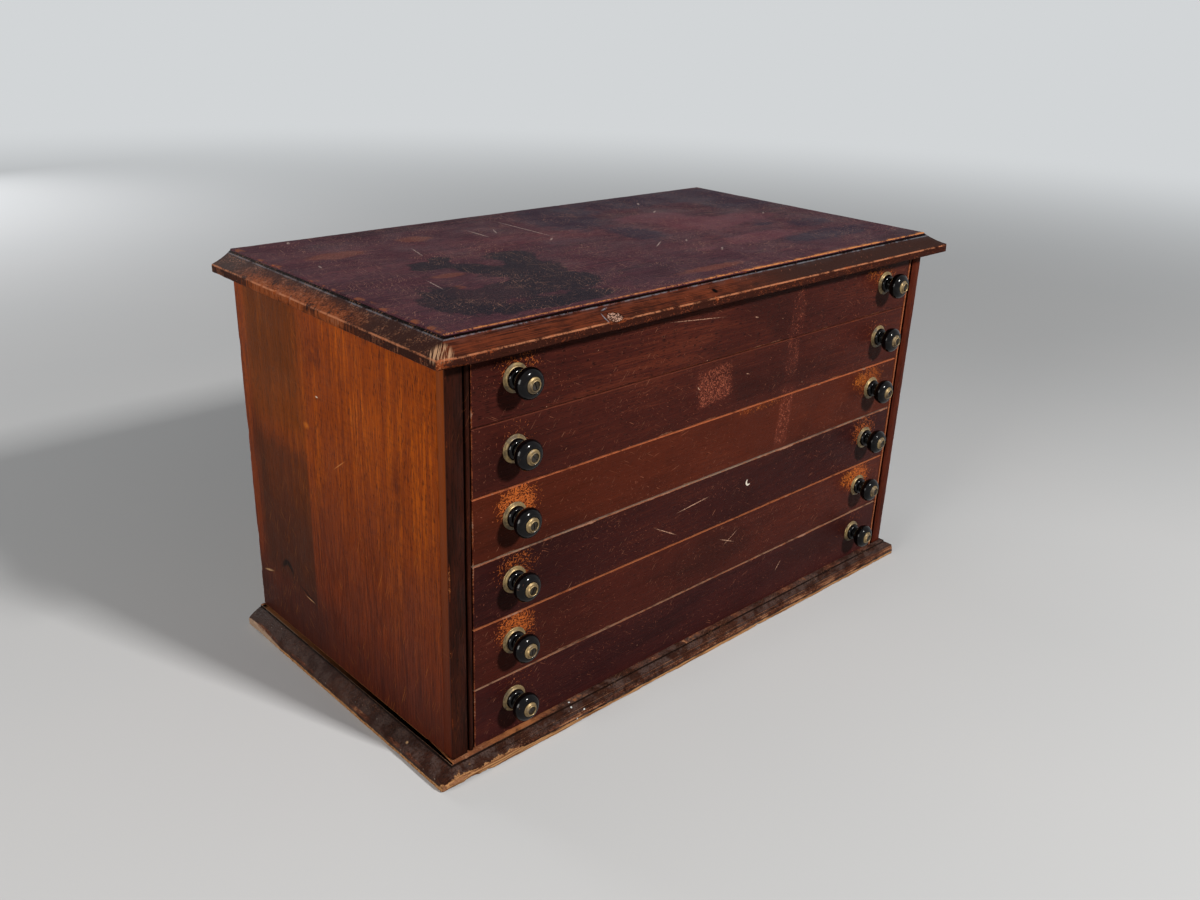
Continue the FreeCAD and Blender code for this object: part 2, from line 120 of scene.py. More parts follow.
def wear(shape, arrises, seed):
    """Rubs down the arrises, and keeps how bare each point of the wood is. An arris is its
    axis, its place and the way out of the wood square to that, how many millimetres it is
    rubbed and chipped, and any single losses by place, half length and depth."""
    points = np.array([vert.co for vert in shape.verts])
    bare = np.zeros(len(points))
    for number, (axis, place, outward, rub, chip, *losses) in enumerate(arrises):
        out = np.array(on_face(axis, *outward, 0)) / np.linalg.norm(outward)
        along = points[:, axis]
        depth = worn_depth(along, rub * MM, chip * MM, seed + 10 * number)
        for middle, half, loss in losses:
            depth += loss * MM * np.clip(1 - ((along - middle) / half) ** 2, 0, 1)
        offset = points - on_face(axis, *place, 0)
        offset[:, axis] = 0
        past = offset @ out + depth
        near = np.linalg.norm(offset, axis=1) < 2.2 * depth + 1.5 * MM
        moved = near & (past > 0)
        points[moved] -= np.outer(past[moved], out)
        band = np.where(near, np.clip(1 + past / (0.4 * MM), 0, 1), 0)
        bare = np.maximum(bare, band * np.clip(depth / (0.9 * MM), 0, 1))
    layer = shape.verts.layers.float.new("bare")
    for vert, place, amount in zip(shape.verts, points, bare):
        vert.co = place
        vert[layer] = amount


def worn_board(node, cuts, divisions, arrises, seed):
    """A board with its arrises rubbed down, after cuts as (axis, places) and divisions of its
    long edges as (axis, shortest edge, step in millimetres)."""
    shape = clean_copy(node)
    for axis, places in cuts:
        slice_across(shape, axis, places)
    for axis, shortest, step in divisions:
        divide_along(shape, axis, shortest, step * MM)
    wear(shape, arrises, seed)
    return mesh_of(shape, f"{node}_worn")


def in_scene(name, data):
    """A new object of the scene."""
    item = bpy.data.objects.new(name, data)
    bpy.context.scene.collection.objects.link(item)
    return item


def piece_of(mesh, body, finish, slot, *nodes):
    """Puts a finished mesh on its body, as a piece of the same name, in place of the CAD nodes
    that it stands for."""
    for face in mesh.polygons:
        face.use_smooth = True
    mesh.set_sharp_from_angle(angle=math.radians(50))
    mesh.materials.clear()
    mesh.materials.append(finish)
    piece = in_scene(mesh.name, mesh)
    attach(piece, body)
    if nodes:
        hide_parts(*nodes)


def mesh_of(shape, name):
    mesh = bpy.data.meshes.new(name)
    shape.to_mesh(mesh)
    shape.free()
    return mesh


def put(tree, socket, value):
    """Sets a socket, or links the value's own socket to it."""
    value = getattr(value, "socket", value)
    if isinstance(value, bpy.types.NodeSocket):
        tree.links.new(value, socket)
    else:
        socket.default_value = value


def new_node(tree, kind, settings=None, inputs=None):
    """Any node: its settings first, then the values or links of its sockets."""
    node = tree.nodes.new(kind)
    for name, setting in (settings or {}).items():
        setattr(node, name, setting)
    for key, value in (inputs or {}).items():
        put(tree, node.inputs[key], value)
    return node


class Value:
    """A number in a material. Arithmetic on it adds Math nodes."""

    def __init__(self, finish, socket):
        self.finish, self.socket = finish, socket

    def maths(self, operation, *terms):
        return self.finish.add("ShaderNodeMath", {"operation": operation}, dict(enumerate(terms)))

    def __add__(self, other):
        return self.maths("ADD", self, other)

    def __sub__(self, other):
        return self.maths("SUBTRACT", self, other)

    def __rsub__(self, other):
        return self.maths("SUBTRACT", other, self)

    def __mul__(self, other):
        return self.maths("MULTIPLY", self, other)

    def __truediv__(self, other):
        return self.maths("DIVIDE", self, other)

    def __rtruediv__(self, other):
        return self.maths("DIVIDE", other, self)

    def __mod__(self, other):
        return self.maths("FLOORED_MODULO", self, other)

    def __abs__(self):
        return self.maths("ABSOLUTE", self)

    __radd__ = __add__
    __rmul__ = __mul__

    def sine(self):
        return self.maths("SINE", self)

    def rise(self, low, high):
        """0 up to low and 1 from high on, or the other way round where low is the higher."""
        return self.finish.add("ShaderNodeMapRange", {"interpolation_type": "SMOOTHSTEP"},
                               {0: self, 1: low, 2: high})

    def past(self, level, start, end):
        """The same between two places that lie start and end millimetres past a level."""
        return self.rise(level + start * MM, level + end * MM)


def paint(code):
    """A colour written as on a chart, made linear."""
    parts = [(code >> shift & 255) / 255 for shift in (16, 8, 0)]
    return (*(part / 12.92 if part < 0.04045 else ((part + 0.055) / 1.055) ** 2.4
              for part in parts), 1.0)


class Finish:
    """A material in the making."""

    def __init__(self, name):
        self.material = bpy.data.materials.new(name)
        self.material.use_nodes = True
        self.tree = self.material.node_tree
        self.shader = self.tree.nodes["Principled BSDF"]
        self.here = self.add("ShaderNodeTexCoord", output="Object")
        self.x, self.y, self.z = (self.add("ShaderNodeSeparateXYZ", None, {0: self.here}, index)
                                  for index in range(3))
        self.height = 0.0

    def put(self, name, value):
        put(self.tree, self.shader.inputs[name], value)

    def add(self, kind, settings=None, inputs=None, output=0):
        return Value(self, new_node(self.tree, kind, settings, inputs).outputs[output])

    def stretch(self, size, centre=(0, 0, 0), turn=(0, 0, 0)):
        """Object coordinates, moved and turned to a mark and divided by its size."""
        return self.add("ShaderNodeMapping", {"vector_type": "TEXTURE"},
                        {"Vector": self.here, "Location": centre, "Rotation": turn, "Scale": size})

    def noise(self, size, detail=2.0, rough=0.5, centre=(0, 0, 0), turn=(0, 0, 0), bend=0.0):
        """Noise from 0 to 1, whose grain is of one size or of three."""
        place = self.stretch((size,) * 3 if isinstance(size, float) else size, centre, turn)
        return self.add("ShaderNodeTexNoise", None,
                        {"Vector": place, "Scale": 1.0, "Detail": detail, "Roughness": rough,
                         "Distortion": bend})

    def mix(self, share, first, second):
        """From the first colour to the second."""
        return self.add("ShaderNodeMix", {"data_type": "RGBA"}, {0: share, 6: first, 7: second}, 2)

    def attribute(self, name):
        return self.add("ShaderNodeAttribute", {"attribute_name": name}, output="Fac")

    def mark(self, centre, size, turn=(0, 0, 0), soft=0.5):
        """1 inside an oval mark, 0 outside it."""
        place = self.stretch(size, centre, turn)
        reach = self.add("ShaderNodeVectorMath", {"operation": "LENGTH"}, {0: place}, "Value")
        return reach.rise(1.0, 1.0 - soft)

    def cover(self, share, tone, rough=None):
        """Lays a colour over part of the surface."""
        self.colour = self.mix(share, self.colour, paint(tone))
        if rough is not None:
            self.rough = self.rough + share * (rough - self.rough)

    def made(self, depth, shine=0.5):
        """Joins everything to the shader. A height of 1 stands depth millimetres high."""
        relief = {"Strength": 1.0, "Distance": depth * MM, "Height": self.height}
        self.put("Base Color", self.colour)
        self.put("Roughness", self.rough)
        self.put("Specular IOR Level", shine)
        self.put("Normal", self.add("ShaderNodeBump", None, relief, "Normal"))
        return self.material


class Wood(Finish):
    """Wood cut with its grain along one axis: clouds, broad figure, fibres and open pores."""

    def __init__(self, name, grain, tones, seed, cloud=0.5, figure=0.5, fibre=0.5):
        super().__init__(name)
        self.put("Specular Tint", paint(0xffb07a))
        dark, middle, light = (paint(tone) for tone in tones)
        centre = (seed * 0.37, seed * 0.91, seed * 0.53)

        def streaks(along, across, detail, rough=0.5, bend=0.0):
            size = [along if index == grain else across for index in range(3)]
            return self.noise(size, detail, rough, centre, bend=bend)

        self.clouds = streaks(0.3, 0.1, 3.0)
        bands = (streaks(0.6, 0.05, 2.0, 0.4, bend=0.4) * 60.0).sine()
        self.fibre = streaks(0.035, 0.0014, 3.0, 0.6)
        self.pores = streaks(0.007, 0.0009, 1.0).rise(0.55, 0.68)
        tone = ((self.clouds - 0.5) * (cloud * 3.2) + bands * (figure * 0.3)
                + (self.fibre - 0.5) * (fibre * 2.6) + 0.5)
        self.colour = self.mix(tone.rise(0.5, 1.0), self.mix(tone.rise(0.0, 0.5), dark, middle),
                               light)
        self.colour = self.mix(self.pores * 0.8, self.colour, dark)
        self.height = self.fibre * 0.4 - self.pores * 0.5
        self.specks = self.noise(0.0014, 2.0, 0.6)
        self.blotches = self.noise(0.014, 4.0, 0.65)
        self.rough = self.noise(0.045, 3.0) * 0.4 + 0.22

    def bare_edges(self, halo, tone, reach=0.6):
        """Raw wood where the arrises have lost their finish, and thin finish beside it."""
        along = self.noise(0.025, centre=(7, 3, 5))
        edge = (self.attribute("bare") * (along + 0.5) + (self.blotches - 0.5) * 0.8
                + (self.specks - 0.5) * 1.1)
        self.cover(edge.rise(reach - 0.35, reach) * 0.75, halo, 0.6)
        share = edge.rise(reach, reach + 0.2)
        self.cover(share * 0.9, tone, 0.75)
        return share

    def scratches(self, size, turn, amount, centre=(0, 0, 0)):
        """Thin lines one way over the wood, thick on the ground only in places."""
        lines = self.noise(size, 0.0, centre=centre, turn=turn)
        patch = self.noise(0.05, centre=centre)
        return lines.rise(1 - amount, 1.06 - amount) * patch.rise(0.42, 0.62)

    def chips(self, near, normal):
        """Short chips in the finish, in three directions, thick on the ground where near is 1."""
        found = 0.0
        size = (0.0045, 0.0045, 0.001) if normal == Y else (0.0045, 0.001, 0.0045)
        for turn in (0.45, -0.7, 1.5):
            line = self.noise(size, 1.0, centre=(turn, 1, 2), turn=on_face(normal, 0, 0, turn))
            found = found + (line + near * 0.2).rise(0.76, 0.82)
        return found

    def nick(self, normal, level, place, size, turn=0.0, soft=0.5):
        """A mark on the face at a level square to an axis, placed and sized in millimetres."""
        (first, second), (wide, tall) = place, size
        return self.mark(on_face(normal, first * MM, second * MM, level),
                         on_face(normal, wide * MM, tall * MM, 1),
                         on_face(normal, 0, 0, turn), soft)

    def dots(self, cell, size, share):
        """Small round dots, in some of the cells of a loose grid."""
        grid = {"Vector": self.here, "Scale": 1 / cell}
        reach = self.add("ShaderNodeTexVoronoi", None, grid)
        pick = self.add("ShaderNodeTexVoronoi", None, grid, "Color")
        chance = self.add("ShaderNodeSeparateColor", None, {0: pick})
        return reach.rise(size / cell, 0.5 * size / cell) * chance.rise(1 - share, 1.01 - share)


CASE_LEFT, CASE_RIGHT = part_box("case_side_left")[0].x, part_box("case_side_right")[1].x
CASE_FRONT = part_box("stile_left")[0].y
BASE_NOSING, LEDGE = 8.0 * MM, 4.6 * MM
low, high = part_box("base_board")

arrises = [
    (X, (low.y, 0), (-1, -1), 0.8, 3.4, (-0.335, 0.03, 2.0)),
    (X, (low.y, BASE_NOSING), (-1, 0.8), 0.7, 2.4),
    (X, (CASE_FRONT - LEDGE, high.z), (-1, 1), 0.5, 0.8),
    (X, (high.y, 0), (1, -1), 0.4, 0.8),
]
for end, ledge, sign in ((low.x, CASE_LEFT - LEDGE, -1), (high.x, CASE_RIGHT + LEDGE, 1)):
    arrises += [
        (Y, (end, 0), (sign, -1), 0.5, 1.6),
        (Y, (end, BASE_NOSING), (sign, 0.8), 0.5, 1.4),
        (Z, (end, low.y), (sign, -1), 3.0 + sign, 0.6),
        (Y, (ledge, high.z), (sign, 1), 0.4, 0.5),
    ]
base = worn_board("base_board", ((X, rim(low.x, high.x)), (Y, rim(low.y, high.y)),
                                 (Z, rim(low.z, BASE_NOSING))),
                  ((X, 0.5, 1.6), (Y, 0.28, 1.6)), arrises, seed=11)

wood = Wood("base_walnut", X, (0x120b09, 0x2a1712, 0x3f241a), seed=3, figure=0.3)
dust = wood.blotches.rise(0.4, 0.62) * wood.specks.rise(0.3, 0.55)
wood.cover(dust * 0.6, 0x524440, 0.85)
front_face = wood.y.past(CASE_FRONT, -4, -9)
near_end = wood.x.rise(-0.13, -0.3)
ragged = (wood.blotches - 0.5) * 1.2 + (wood.clouds - 0.5) * 0.8
raw = (ragged + front_face * near_end * (wood.z.past(0, 13, 5) * 0.45 + 0.25)
       + wood.z.past(0, 6, 2.5) * (front_face * 0.25 + 0.72)
       + wood.mark((low.x, high.y - 20 * MM, 3 * MM), (10 * MM, 50 * MM, 8 * MM), soft=0.6) * 0.9)
raw = raw.rise(0.4, 0.5)
wood.cover(raw * 0.9, 0x724a2d, 0.8)
wood.cover(raw * wood.fibre.rise(0.38, 0.55) * 0.85, 0xb5875c, 0.85)
left_end = wood.x.past(CASE_LEFT, -3, -6)
wood.cover(left_end * wood.dots(0.006, 0.0006, 0.4) * 0.7, 0x9a8f84)
wood.cover(raw * left_end * wood.y.rise(0.09, 0.13) * 0.7, 0xa08c7c)
on_ledge = wood.z.past(0, 18, 18.8)
wood.cover(on_ledge * (ragged + near_end * 0.5).rise(0.15, 0.35) * 0.85, 0x8a5634, 0.7)
ledge_line = abs(wood.x - CASE_LEFT + LEDGE).past(0, 0.9, 0.3) * on_ledge
wood.cover(ledge_line * (wood.blotches + wood.specks * 0.5).rise(0.55, 0.75) * 0.8, 0xa08c78)
wood.cover(wood.mark((low.x + 7 * MM, -0.118, 11 * MM), (2 * MM, 2.2 * MM, 4 * MM))
           * wood.specks.rise(0.35, 0.5) * 0.9, 0xc09a70)
# Painted shade: a near-black band on the small step just below the ledge.
wood.cover(wood.z.past(0, 16, 16.5) * wood.z.past(0, 18.2, 17.6) * 0.9, 0x060404)
wood.cover(wood.scratches((0.03, 0.0006, 0.0006), (0, 0, 0.5), 0.3) * 0.6, 0x7d5a44)
wood.cover(wood.dots(0.03, 0.0009, 0.12), 0xbdb6a6, 0.6)
splash = wood.mark((-0.182, -0.1765, 0.012), (0.016, 1, 1), soft=0.3)
wood.cover(wood.dots(0.005, 0.0014, 0.6) * splash, 0xc9ccca, 0.5)
bare = wood.bare_edges(0x5a3222, 0x8e6448, 0.85)
wood.height = wood.height + wood.blotches * 0.6 + bare * 0.3
piece_of(base, "case", wood.made(0.5, 0.05), "base_wood", "base_board")

# ---- Case sides -----------------------------------------------------------------------
# Two walnut boards, standing in housings in the top and the base, with their grain upright.
# Their outsides carry old shellac, orange at the top and darker lower down, with a dark
# stripe towards the back, the knot and the flame of one plank on the left.

STRIPE_FRONT, KNOT_Y, KNOT_UP = 0.051, 0.1085, 0.094

for side, sign in (("left", -1), ("right", 1)):
    node = f"case_side_{side}"
    low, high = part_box(node)
    outer = high.x if sign > 0 else low.x
    plank = worn_board(node, ((X, rim(low.x, high.x)), (Y, rim(low.y, high.y))), ((Z, 0.3, 2.0),),
                       ((Z, (outer, high.y), (sign, 1), 0.5, 1.6),
                        (Z, (outer, low.y), (sign, -1), 0.12, 0.3)), seed=70 + sign)

    wood = Wood(f"side_walnut_{side}", Z, (0x431a08, 0x82380a, 0xba5a08), seed=5 + sign,
                figure=0.35, fibre=0.35)
    wood.cover(wood.noise((1, 0.016, 0.002)).rise(0.5, 0.7) * 0.22, 0x4a1e0a)
    # Darker towards the bottom, and darker still in the lowest ten centimetres.
    lower = wood.z.rise(0.335, 0.03) * 0.95 + (wood.clouds - 0.5) * 0.7
    wood.colour = wood.mix(lower, wood.colour, wood.mix(wood.fibre.rise(0.3, 0.7), paint(0x35140e),
                                                        paint(0x5e2716)))
    wood.cover(wood.z.rise(0.1, 0.03) * 0.45, 0x2c1514)
    if side == "left":
        # A dark stripe over the rear part of the plank, with a sharp front edge.
        sharp = wood.z.rise(0.27, 0.2) * 14 + 1.2
        edge = (wood.y - STRIPE_FRONT - (wood.clouds - 0.5) * 0.006) / MM * sharp
        upper = wood.z + (wood.blotches - 0.5) * 0.02
        stripe = edge.rise(-20.0, 20.0) * wood.y.rise(0.162, 0.144)
        stripe = stripe * (upper + (wood.clouds - 0.5) * 0.06).rise(0.06, 0.09)
        wood.cover(stripe * upper.rise(0.25, 0.215) * 0.64, 0x31190a)
        wood.cover(stripe * upper.rise(0.2, 0.14) * 0.32, 0x2b1a18)
        wood.cover(stripe * upper.rise(0.225, 0.26) * 0.5, 0x502a04)
        wood.cover(stripe * upper.rise(0.27, 0.32) * wood.y.rise(0.06, 0.09) * 0.4, 0x3a1c04)
        # Darker at the bottom towards the back.
        wood.cover(wood.z.rise(0.1, 0.06) * wood.y.rise(-0.02, 0.06) * 0.5, 0x2c1a17)
        for place, thick, strength in ((0.018, 0.7, 0.5), (-0.017, 0.9, 0.6), (-0.034, 0.5, 0.5),
                                       (-0.048, 0.6, 0.6), (-0.082, 0.9, 0.6), (-0.099, 0.7, 0.4)):
            line = abs(wood.y - place + (wood.clouds - 0.5) * 0.02)
            broken = line.past(0, thick, 0) * wood.blotches.rise(0.35, 0.55)
            wood.cover(broken * strength, 0x3f1709)
        for place, foot, curve, tall in ((-0.062, 0.095, 640, 0.16), (0.014, 0.055, 230, 0.2)):
            flame = wood.z - foot - (wood.y - place) * (wood.y - place) * curve
            outline = abs(flame + (wood.clouds - 0.5) * 0.03 - 0.012).rise(0.01, 0.0)
            inner = abs(flame + (wood.clouds - 0.5) * 0.03 - 0.06).rise(0.016, 0.0)
            reach = wood.z.rise(foot + tall, foot + tall * 0.5)
            reach = reach * abs(wood.y - place).rise(0.045, 0.02)
            wood.cover((outline + inner * 0.7) * reach * 0.5, 0x38130a)
        smudges = (wood.nick(X, outer, (26, 338), (22, 30), soft=0.9)
                   + wood.nick(X, outer, (-99, 250), (14, 50), soft=0.9)
                   + wood.nick(X, outer, (30, 200), (12, 80), soft=0.9) * 0.6)
        wood.cover(smudges * wood.blotches.rise(0.3, 0.6) * 0.6, 0x451a0b)
        knot = wood.z - KNOT_UP + (wood.y - KNOT_Y) * (wood.y - KNOT_Y) * 70.0
        round_knot = wood.nick(X, outer, (KNOT_Y / MM, KNOT_UP / MM - 4), (15, 15))
        wood.cover(abs(knot).past(0, 5.5, 1.5) * round_knot * 0.95, 0x120a08)
        for place, size, turn, tone in (
                ((151, 68), (13, 1.6), -0.28, 0xa98560), ((70, 74.5), (26, 1.6), 0.22, 0x150a08),
                ((66, 70.8), (11, 1), 0.08, 0xa07a58), ((-7, 241), (16, 0.6), -0.62, 0xb87a44),
                ((25.5, 296), (3, 1), 0.0, 0xd9cdb8), ((48, 262), (7, 4.5), 0.0, 0xa85a1a)):
            worn = wood.nick(X, outer, place, size, turn, 0.8)
            wood.cover(worn * wood.specks.rise(0.3, 0.45), tone)
    wood.cover(wood.scratches((0.001, 0.0005, 0.03), (0.35, 0, 0), 0.26) * 0.5, 0xb8702c)
    wood.cover(wood.scratches((0.001, 0.0005, 0.02), (-0.8, 0, 0), 0.25, (3, 1, 2)) * 0.4, 0xb8702c)
    wood.cover(wood.dots(0.02, 0.0007, 0.15) * 0.8, 0x2a0f08)
    wood.cover(wood.y.past(high.y, -0.8, -0.3) * 0.8, 0x4a2f1e, 0.7)
    wood.bare_edges(0x8a4218, 0xc08a50, 0.8)
    piece_of(plank, "case", wood.made(0.12, 0.05), "side_wood", node)

# ---- Drawer runners -------------------------------------------------------------------
# Six beech runners a side, let into the sides and held by two screws each, which are set
# flush and turned as the screwdriver left them.


def eased(node, size=0.3):
    """A welded copy of a node with its sharp edges eased, as sandpaper leaves them."""
    shape = clean_copy(node)
    sharp = [edge for edge in shape.edges if edge.calc_face_angle(0) > math.radians(35)]
    bmesh.ops.bevel(shape, geom=sharp, offset=size * MM, segments=2, profile=0.5,
                    affect="EDGES", clamp_overlap=True)
    return mesh_of(shape, f"{node}_eased")


def turned(profile, sides):
    """A closed shape turned about Z. Its profile, in millimetres of radius and height, ends on
    the axis."""
    shape = bmesh.new()
    rings = []
    for radius, height in profile:
        if radius == 0:
            rings.append([shape.verts.new((0, 0, height * MM))] * sides)
            continue
        angles = [2 * math.pi * step / sides for step in range(sides)]
        rings.append([shape.verts.new((radius * MM * math.cos(angle),
                                       radius * MM * math.sin(angle), height * MM))
                      for angle in angles])
    for under, over in zip(rings, rings[1:]):
        for step in range(sides):
            after = (step + 1) % sides
            corners = (under[step], under[after], over[after], over[step])
            shape.faces.new(dict.fromkeys(corners))
    bmesh.ops.recalc_face_normals(shape, faces=shape.faces)
    return shape


def block(wide, deep, bottom, top):
    """A block about Z, in millimetres."""
    shape = bmesh.new()
    bmesh.ops.create_cube(shape, size=1.0)
    for vert in shape.verts:
        vert.co = (vert.co.x * wide * MM, vert.co.y * deep * MM,
                   (bottom if vert.co.z < 0 else top) * MM)
    return shape


def settled(holder):
    """The mesh that an object's modifier makes. The object goes."""
    evaluated = holder.evaluated_get(bpy.context.evaluated_depsgraph_get())
    found = bpy.data.meshes.new_from_object(evaluated)
    bpy.data.objects.remove(holder)
    return found


def slotted(shape, wide, bottom, top, reach):
    """Cuts a screwdriver slot across a turned head."""
    head = in_scene("head", mesh_of(shape, "head"))
    knife = in_scene("slot", mesh_of(block(2 * reach, wide, bottom, top), "slot"))
    cut = head.modifiers.new("slot", "BOOLEAN")
    cut.operation, cut.solver, cut.object = "DIFFERENCE", "EXACT", knife
    found = settled(head)
    bpy.data.objects.remove(knife)
    return found


def rows_tree():
    """A node tree that sets one shape out in rows, each a little loose and turned its own way."""
    tree = bpy.data.node_groups.new("rows", "GeometryNodeTree")
    sockets = {}
    for name, kind in (("Shape", "Geometry"), ("Across", "Int"), ("Along", "Int"),
                       ("Width", "Float"), ("Length", "Float"), ("Centre", "Vector"),
                       ("Facing", "Vector"), ("Loose", "Float"), ("Turn", "Float"),
                       ("Seed", "Int"), ("Finish", "Material")):
        sockets[name] = tree.interface.new_socket(name, in_out="INPUT",
                                                  socket_type=f"NodeSocket{kind}").identifier
    tree.interface.new_socket("Shape", in_out="OUTPUT", socket_type="NodeSocketGeometry")

    def node(kind, settings=None, **inputs):
        named = {name.replace("_", " "): value for name, value in inputs.items()}
        return new_node(tree, kind, settings, named).outputs

    given = node("NodeGroupInput")
    grid = node("GeometryNodeMeshGrid", Size_X=given["Width"], Size_Y=given["Length"],
                Vertices_X=given["Across"], Vertices_Y=given["Along"])
    placed = node("GeometryNodeTransform", Geometry=grid["Mesh"], Translation=given["Centre"],
                  Rotation=given["Facing"])
    points = node("GeometryNodeInstanceOnPoints", Points=placed["Geometry"],
                  Instance=given["Shape"], Rotation=given["Facing"])
    spread = new_node(tree, "FunctionNodeRandomValue", {"data_type": "FLOAT_VECTOR"},
                      {0: (-1, -1, 0), 1: (1, 1, 0), "Seed": given["Seed"]}).outputs
    shift = node("ShaderNodeVectorMath", {"operation": "SCALE"}, Vector=spread[0],
                 Scale=given["Loose"])
    moved = node("GeometryNodeTranslateInstances", Instances=points["Instances"],
                 Translation=shift["Vector"])
    chance = node("FunctionNodeRandomValue", Seed=given["Seed"])
    turn = new_node(tree, "ShaderNodeMath", {"operation": "MULTIPLY"},
                    {0: chance[1], 1: given["Turn"]}).outputs
    angle = node("ShaderNodeCombineXYZ", Z=turn[0])
    spun = node("GeometryNodeRotateInstances", Instances=moved["Instances"],
                Rotation=angle["Vector"])
    whole = node("GeometryNodeRealizeInstances", Geometry=spun["Instances"])
    dressed = node("GeometryNodeSetMaterial", Geometry=whole["Geometry"],
                   Material=given["Finish"])
    node("NodeGroupOutput", Shape=dressed["Geometry"])
    return tree, sockets


rows, row_sockets = rows_tree()


def in_rows(shape, name, body, finish, slot, *nodes, **settings):
    """Sets a shape out with the rows tree, and keeps the result as a plain mesh."""
    holder = in_scene("holder", shape)
    modifier = holder.modifiers.new("rows", "NODES")
    modifier.node_group = rows
    for key, value in settings.items():
        modifier[row_sockets[key]] = value
    modifier[row_sockets["Finish"]] = finish
    found = settled(holder)
    found.name = name
    piece_of(found, body, finish, slot, *nodes)


wood = Wood("runner_beech", Y, (0x6b4526, 0x9c6f43, 0xb98a5a), seed=8, fibre=0.4)
wood.cover(wood.blotches.rise(0.5, 0.75) * 0.4, 0x4a2f1c)
runner_wood = wood.made(0.15)

steel = Finish("old_steel")
rust = steel.noise(0.002, 4.0, 0.7)
steel.colour = steel.mix(rust.rise(0.42, 0.62), paint(0x6b6660), paint(0x3a2418))
steel.rough = rust * 0.5 + 0.25
steel.height = rust
steel.put("Metallic", rust.rise(0.62, 0.42))
old_steel = steel.made(0.1)

DRAWERS = range(1, 7)
FRONT_LOW = [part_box(f"drawer_{number}_front")[0] for number in DRAWERS]
PITCH = FRONT_LOW[0].z - FRONT_LOW[1].z
SCREW_IN = 45 * MM
screw = slotted(turned([(0, -2.4), (1.2, -2.4), (3.0, -0.3), (3.0, 0.1), (2.8, 0.2), (0, 0.2)],
                       24), 0.7, -0.7, 1, 4)
for side, sign in (("left", -1), ("right", 1)):
    node = f"runners_{side}"
    low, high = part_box(node)
    piece_of(eased(node), "case", runner_wood, "drawer_wood", node)
    tip = high.x if sign < 0 else low.x
    in_rows(screw, f"runner_screws_{side}", "case", old_steel, "brass",
            Across=len(DRAWERS), Along=2, Width=5 * PITCH, Length=high.y - low.y - 2 * SCREW_IN,
            Centre=(tip + 0.05 * sign * MM, (low.y + high.y) / 2, (low.z + high.z) / 2),
            Facing=(0, -sign * math.pi / 2, 0), Loose=0.6 * MM, Turn=math.pi, Seed=4 + sign)

# ---- Back boards ----------------------------------------------------------------------
# Three poplar boards, tongued into each other and nailed into the rabbets of the sides.
# They were never finished, and are grey-brown with dust and handling.

wood = Wood("back_poplar", X, (0x4a3524, 0x7a5b3d, 0x9a7850), seed=12, fibre=0.6)
wood.cover(wood.clouds.rise(0.45, 0.7) * 0.5, 0x4b3a2c)
wood.cover(wood.scratches((0.02, 0.001, 0.0005), (0, 0.3, 0), 0.28) * 0.5, 0xa88a62)
low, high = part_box("back_board_lower")
for height in (0.25, 0.75):
    for sign in (-1, 1):
        wood.cover(wood.nick(Y, high.y, (309 * sign, 400 * height), (20, 60)) * 0.3, 0x33261c)
wood.cover(wood.blotches.rise(0.55, 0.75) * 0.4, 0x3c2b1e)
wood.cover(wood.dots(0.05, 0.0016, 0.2), 0x2a1d14)
back_wood = wood.made(0.25)
for part in ("lower", "middle", "upper"):
    node = f"back_board_{part}"
    board = eased(node, 0.9)
    for vertex in board.vertices:
        if vertex.co.y > high.y - 0.05 * MM:
            vertex.co.y = high.y - 0.3 * MM
    piece_of(board, "case", back_wood, "back_wood", node)

NAIL_IN = 5 * MM
nail = mesh_of(turned([(0, -2), (1.2, -2), (2.5, -0.5), (2.6, -0.15), (2.0, -0.02), (0, -0.02)],
                      20), "nail")
in_rows(nail, "back_nails", "case", old_steel, "brass", Across=2, Along=6,
        Width=high.x - low.x - 2 * NAIL_IN, Length=5 * PITCH,
        Centre=(0, high.y, (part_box("base_board")[1].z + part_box("top_board")[0].z) / 2),
        Facing=(-math.pi / 2, 0, 0), Loose=2.5 * MM, Turn=math.pi, Seed=9)

# ---- Top board ------------------------------------------------------------------------
# One board as thick as the base, with its moulding turned over: a nosing below, then a
# hollow up to a small step round the field. It is square at the back. The shellac on the
# field is crazed, scratched and stained blue-black by ink and wet pots.

low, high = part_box("top_board")
NOSING_TOP, FIELD_IN = low.z + 7.7 * MM, 19.4 * MM

arrises = [
    (X, (low.y, low.z), (-1, -1), 0.4, 1.2, (-0.334, 0.02, 1.6)),
    (X, (low.y, NOSING_TOP), (-1, 0.6), 0.6, 1.2, (-0.336, 0.012, 1.8), (-0.165, 0.01, 1.0)),
    (X, (low.y + FIELD_IN, high.z), (-1, 1), 0.5, 0.8),
    (X, (high.y, high.z), (1, 1), 0.5, 1.0),
    (X, (high.y, low.z), (1, -1), 0.4, 0.8),
]
for end, sign in ((low.x, -1), (high.x, 1)):
    arrises += [
        (Y, (end, low.z), (sign, -1), 0.5, 1.2),
        (Y, (end, NOSING_TOP), (sign, 0.6), 0.6, 1.6),
        (Y, (end - sign * FIELD_IN, high.z), (sign, 1), 0.5, 0.8),
        (Z, (end, low.y), (sign, -1), 2.0, 1.0),
    ]
top = worn_board(
    "top_board", ((X, rim(low.x, high.x) + rim(low.x + FIELD_IN, high.x - FIELD_IN)),
                  (Y, rim(low.y, high.y) + [low.y + FIELD_IN + step for step in INSETS]),
                  (Z, rim(low.z, NOSING_TOP))), ((X, 0.5, 1.8), (Y, 0.28, 1.8)), arrises, seed=300)

# The field's purple tint is partly the dark finish and partly a painted reflection of a blue
# surround.
wood = Wood("top_walnut", X, (0x22131b, 0x42242d, 0x5a3035), seed=20, figure=0.3)
front_edge = low.y + FIELD_IN


